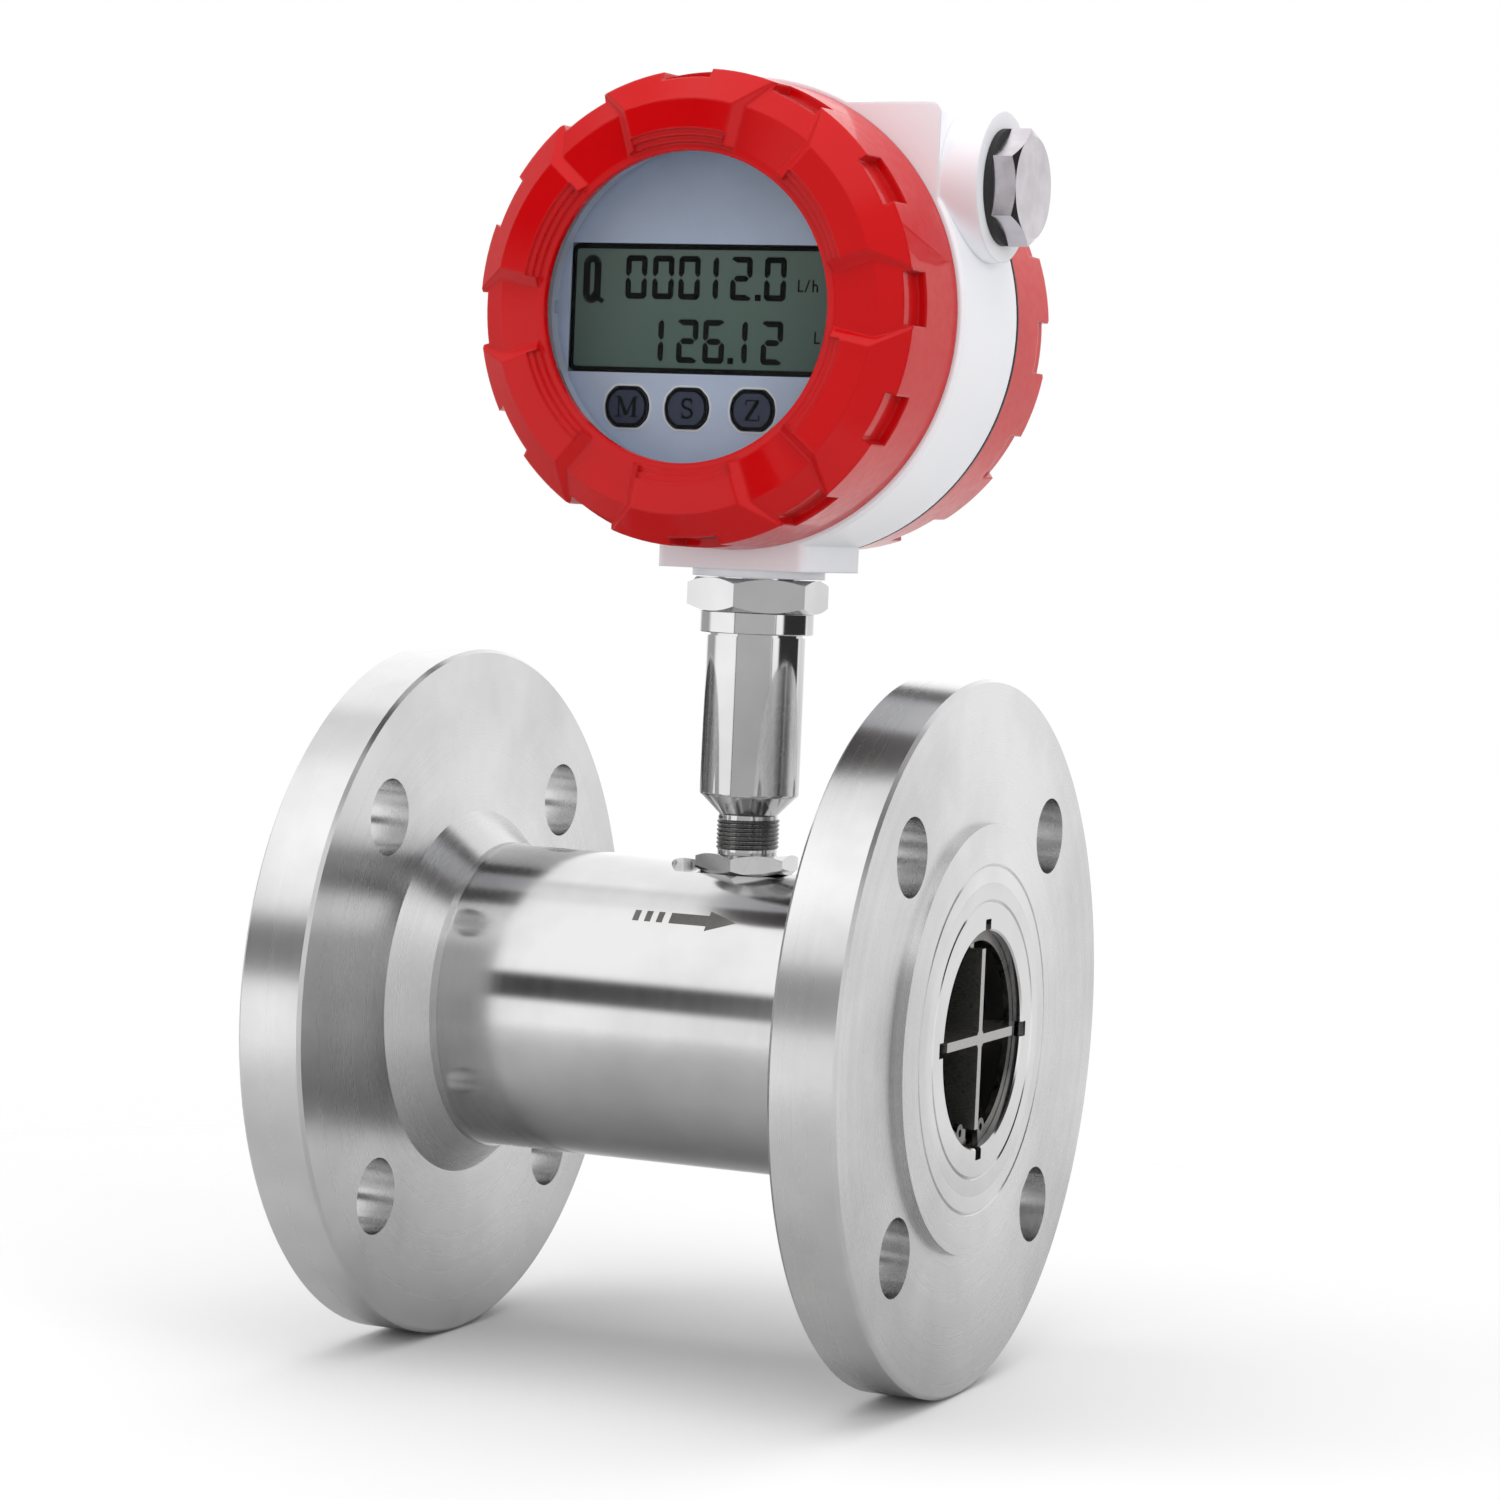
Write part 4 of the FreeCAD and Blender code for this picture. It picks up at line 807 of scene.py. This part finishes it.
class METER_OT_stem_thread(bpy.types.Operator):
    """Winds the thread on the stem's neck above the lock nut"""

    bl_idname = "meter.stem_thread"
    bl_label = "Stem thread"

    def execute(self, context):
        settings = context.scene.meter_thread
        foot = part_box("lock_nut")[1][2] + THREAD_START
        count = int((THREAD_LENGTH / settings.pitch - 1) * THREAD_STEPS)
        points, faces = [], []
        for k in range(count + 1):
            turns = k / THREAD_STEPS
            angle = 2 * math.pi * turns
            # The thread rises from the neck in its first half turn and sinks back in its last
            ease = min(1.0, turns * 2, (count - k) / THREAD_STEPS * 2)
            for up, out in THREAD_SECTION:
                radius = THREAD_ROOT + out * settings.depth * ease
                points.append((STEM.x + radius * math.cos(angle), STEM.y + radius * math.sin(angle),
                               foot + settings.pitch * (turns + up)))
        across = len(THREAD_SECTION)
        for k in range(count):
            for j in range(across - 1):
                a = k * across + j
                faces.append([a, a + across, a + across + 1, a + 1])
        piece("stem_thread", points, faces, "dark_thread", "meter", "steel_turned")
        return {"FINISHED"}


# ---- rear bead and painted seam shade ---------------------------------------
BEAD_AND_SHADE_STEPS = 144
# The bead in section, which also stands as a painted dark band for the shade in the seam: (out from the seal's
# edge, back from its front), in mm
BEAD_AND_SHADE_SECTION = ((0.2, -0.3), (0.2, 0.9), (1.2, 0.9), (1.55, 0.6), (1.55, -0.6), (1.2, -0.8))


class METER_OT_rear_bead_and_seam_shade(bpy.types.Operator):
    """Lays the rear seal's bead in the seam between the housing and the rear cover; it stands proud and black, so
    it is partly the real seal and partly painted shade of the seam and the cover's edge
    """

    bl_idname = "meter.rear_bead"
    bl_label = "Rear bead and seam shade"

    def execute(self, context):
        low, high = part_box("rear_seal")
        seal_radius = (high[0] - low[0]) / 2
        across = len(BEAD_AND_SHADE_SECTION)
        points, faces = [], []
        for k in range(BEAD_AND_SHADE_STEPS):
            angle = 2 * math.pi * k / BEAD_AND_SHADE_STEPS
            for out, back in BEAD_AND_SHADE_SECTION:
                reach = seal_radius + out * MM
                points.append((HEAD.x + reach * math.cos(angle), low[1] + back * MM,
                               HEAD.z + reach * math.sin(angle)))
            here, following = k * across, (k + 1) % BEAD_AND_SHADE_STEPS * across
            for j in range(across):
                n = (j + 1) % across
                faces.append([here + j, here + n, following + n, following + j])
        piece("rear_bead", points, faces, "black_rubber", "rear_seal_ring", "black_rubber", smooth=True)
        return {"FINISHED"}


# ---- flow arrow -------------------------------------------------------------
ARROW_SKIN = 0.03 * MM
ARROW_SHIFT = 3.1 * MM
# How far up the tube's front the arrow sits, in degrees from the front
ARROW_TILT = 43
# The arrow is cut into strips along its length, so that it follows the tube's curve
ARROW_STRIPS = 12
SHAFT_HALF = 1.5 * MM
BARB_HALF = SHAFT_HALF * 1.9
BARB_START = 5.6 * MM
TIP = 12.7 * MM
BARB_SLANT = 7.1 * MM
# Bars along the arrow, the last one its shaft: (start, end) in mm
BARS = ((-13.0, -11.5), (-10.0, -8.5), (-7.0, -5.5), (-3.8, 5.6))


class METER_OT_flow_arrow(bpy.types.Operator):
    """Marks the direction of flow on the tube with bars and an arrow"""

    bl_idname = "meter.flow_arrow"
    bl_label = "Flow arrow"

    def execute(self, context):
        tilt = math.radians(ARROW_TILT)
        radius = TUBE_R + ARROW_SKIN * LIFT

        def on_tube(u, v, layer):
            angle = tilt + v / TUBE_R
            reach = radius + layer
            return (STEM.x - ARROW_SHIFT + u, -reach * math.cos(angle), reach * math.sin(angle))

        outlines = []
        for k in range(ARROW_STRIPS):
            shares = [2 * (k + step) / ARROW_STRIPS - 1 for step in (0, 1)]
            low, high = (BARB_HALF * share for share in shares)
            noses = [TIP - BARB_SLANT * abs(v) / BARB_HALF for v in (low, high)]
            outlines.append([(BARB_START, low), (noses[0], low), (noses[1], high), (BARB_START, high)])
            low, high = (SHAFT_HALF * share for share in shares)
            for start, end in BARS:
                outlines.append([(start * MM, low), (end * MM, low), (end * MM, high), (start * MM, high)])
        piece("flow_arrow", *slab(outlines, on_tube, ARROW_SKIN), "etched_grey", "meter", "steel_turned")
        return {"FINISHED"}


# ---- studio -----------------------------------------------------------------
STUDIO_MIDDLE = Vector((0.08, 0, 0.06))
FLOOR_HALF = 2.0
FLOOR_GAP = 0.2 * MM
# The floor thins out about this far from the middle, softly
FLOOR_REACH = 0.3
FLOOR_SOFT = 0.2
# The world's strength as lighting, and as a bare mirror sees it
FILL = 0.56
BRIGHT = 1.3
# What a mirror sees round the studio: brightness, then from and to in degrees of direction
# (0 in front, 90 at +X), from and to in degrees of height, and how soft the ends are each way.
PANELS = (
    (0.6, -19, 60, -40, 40, 0.6, 7),
    (0.5, -120, -82, -40, 60, 6, 10),
    (0.03, -62, -21, 4.5, 22, 4, 3),
    (0.06, -21.3, -19.3, -40, 6, 0.7, 2),
    (0.2, 61.0, 63.0, -40, 45, 0.7, 5),
    (0.04, 78, 138, -40, 50, 3, 8),
    (1.0, 142, 174, -20, 70, 4, 8),
)
# Name, azimuth and elevation in degrees, distance, width, height, power in watts
LAMPS = (
    ("overhead box", 10, 80, 1.5, 1.8, 1.4, 12),
    ("left box", -62, 28, 1.6, 1.0, 1.3, 6),
    ("right box", 62, 24, 1.7, 0.9, 1.3, 8),
    ("rear box", 168, 40, 1.8, 1.6, 1.0, 5),
)
CAMERA_AT = (0.4768, -0.8792, 0.1166)
CAMERA_FORWARD = Vector((-0.4033, 0.9135, -0.0561))
CAMERA_RIGHT = Vector((0.9132, 0.4053, 0.0423))
SENSOR_WIDTH = 36.0


class METER_OT_stage(bpy.types.Operator):
    """Sets the floor, the lamps, the world and the camera"""

    bl_idname = "meter.stage"
    bl_label = "Studio"

    def execute(self, context):
        settings = context.scene.meter_studio
        make_floor(settings)
        make_world()
        make_lamps()
        make_camera(settings)
        return {"FINISHED"}


def make_floor(settings):
    """Pale floor that thins out round the object, so that it melts into the backdrop."""
    finish = Finish("Pale floor", Roughness=0.7, Specular_IOR_Level=0.1)
    cloud = finish.noise(3)
    pale = [(*[value * gain for value in settings.floor_colour], 1) for gain in (1, 1.02)]
    tone = finish.colours(cloud, *zip(NOISE_SPAN, pale))
    # Mirrors see the floor mid-grey: painted shade in the reflections of the floor, as if it lay in the object's
    # shadow.
    finish.feed("Base Color", finish.muted(tone, (0.55, 0.55, 0.55, 1)))
    x, y, z = finish.parts(finish.place())
    reach = finish.distance(finish.compute("SUBTRACT", x, STUDIO_MIDDLE.x), y)
    thinning = finish.window(reach, -1.0, FLOOR_REACH, FLOOR_SOFT)
    clear = finish.add("ShaderNodeBsdfTransparent")
    finish.show(finish.mix_shaders(thinning, clear.outputs[0], finish.shader.outputs[0]))
    mesh = bpy.data.meshes.new("floor")
    height = CAD_BOX[0][2] - FLOOR_GAP
    corners = ((-1, -1), (1, -1), (1, 1), (-1, 1))
    mesh.from_pydata([(u * FLOOR_HALF, v * FLOOR_HALF, height) for u, v in corners], [], [(0, 1, 2, 3)])
    mesh.materials.append(finish.material)
    new_object("floor", mesh)


def make_world():
    """White to the eye, panelled to mirrors, a plain fill to all else."""
    world = bpy.data.worlds.new("Studio")
    bpy.context.scene.world = world
    world.use_nodes = True
    graph = Graph(world.node_tree)
    output = graph.add("ShaderNodeOutputWorld")
    x, y, z = graph.parts(graph.add("ShaderNodeTexCoord").outputs["Generated"])
    degrees = 180 / math.pi
    turn = graph.compute("ARCTAN2", x, graph.compute("MULTIPLY", y, -1.0))
    direction = graph.compute("MULTIPLY", turn, degrees)
    height = graph.compute("MULTIPLY", graph.compute("ARCSINE", z), degrees)
    shade = BRIGHT
    for grey, left, right, low, high, soft_across, soft_up in PANELS:
        share = graph.compute("MULTIPLY", graph.window(direction, left, right, soft_across),
                              graph.window(height, low, high, soft_up))
        shade = graph.blend(share, shade, grey)
    ray = graph.add("ShaderNodeLightPath").outputs
    strength = graph.blend(ray["Is Glossy Ray"], FILL, shade)
    seen = graph.compute("MAXIMUM", ray["Is Camera Ray"], ray["Is Transmission Ray"])
    strength = graph.blend(seen, strength, 1.0)
    backdrop = graph.add("ShaderNodeBackground", Color=(1, 1, 1, 1))
    graph.link(strength, backdrop.inputs["Strength"])
    graph.link(backdrop.outputs[0], output.inputs["Surface"])


def out_from(azimuth, elevation, distance):
    """A point at a direction from the object's middle; azimuth 0 is in front, 90 at +X."""
    a, e = math.radians(azimuth), math.radians(elevation)
    direction = Vector((math.sin(a) * math.cos(e), -math.cos(a) * math.cos(e), math.sin(e)))
    return STUDIO_MIDDLE + direction * distance


def make_lamps():
    """Soft boxes that light the object and stay out of its mirrors."""
    for name, azimuth, elevation, distance, width, height, power in LAMPS:
        lamp = bpy.data.lights.new(name, "AREA")
        lamp.shape = "RECTANGLE"
        lamp.size = width
        lamp.size_y = height
        lamp.energy = power
        holder = new_object(name, lamp)
        holder.location = out_from(azimuth, elevation, distance)
        holder.rotation_mode = "QUATERNION"
        holder.rotation_quaternion = (STUDIO_MIDDLE - holder.location).to_track_quat("-Z", "Y")
        holder.visible_glossy = False


def make_camera(settings):
    camera = bpy.data.cameras.new("Camera")
    camera.lens = settings.lens
    camera.sensor_width = SENSOR_WIDTH
    forward = CAMERA_FORWARD.normalized()
    up = CAMERA_RIGHT.normalized().cross(forward).normalized()
    right = forward.cross(up).normalized()
    turn = Matrix((right, up, -forward)).transposed()
    holder = new_object("Camera", camera)
    holder.matrix_world = Matrix.Translation(CAMERA_AT) @ turn.to_4x4()
    bpy.context.scene.camera = holder


# ---- add-on -----------------------------------------------------------------
class METER_PT_panel(bpy.types.Panel):
    """Lists the dresser's steps and settings"""

    bl_idname = "METER_PT_panel"
    bl_label = "Flow meter"
    bl_space_type = "VIEW_3D"
    bl_region_type = "UI"
    bl_category = "Flow meter"

    def draw(self, context):
        for step in STEPS:
            self.layout.operator(step.bl_idname)
        for group in (context.scene.meter_display, context.scene.meter_thread, context.scene.meter_studio):
            for name in group.bl_rna.properties.keys():
                if name not in ("rna_type", "name"):
                    self.layout.prop(group, name)


STEPS = (METER_OT_steelwork, METER_OT_display, METER_OT_key_marks, METER_OT_stem_thread, METER_OT_rear_bead_and_seam_shade,
         METER_OT_flow_arrow, METER_OT_stage)
CLASSES = (DisplaySettings, ThreadSettings, StudioSettings, *STEPS, METER_PT_panel)


def register():
    for item in CLASSES:
        bpy.utils.register_class(item)
    bpy.types.Scene.meter_display = bpy.props.PointerProperty(type=DisplaySettings)
    bpy.types.Scene.meter_thread = bpy.props.PointerProperty(type=ThreadSettings)
    bpy.types.Scene.meter_studio = bpy.props.PointerProperty(type=StudioSettings)


def unregister():
    del bpy.types.Scene.meter_display
    del bpy.types.Scene.meter_thread
    del bpy.types.Scene.meter_studio
    for item in reversed(CLASSES):
        bpy.utils.unregister_class(item)


def main():
    register()
    bpy.context.scene.view_settings.view_transform = "Standard"
    bpy.ops.meter.steelwork()
    bpy.ops.meter.display()
    bpy.ops.meter.key_marks()
    bpy.ops.meter.stem_thread()
    bpy.ops.meter.rear_bead()
    bpy.ops.meter.flow_arrow()
    bpy.ops.meter.stage()


if __name__ == "__main__":
    main()
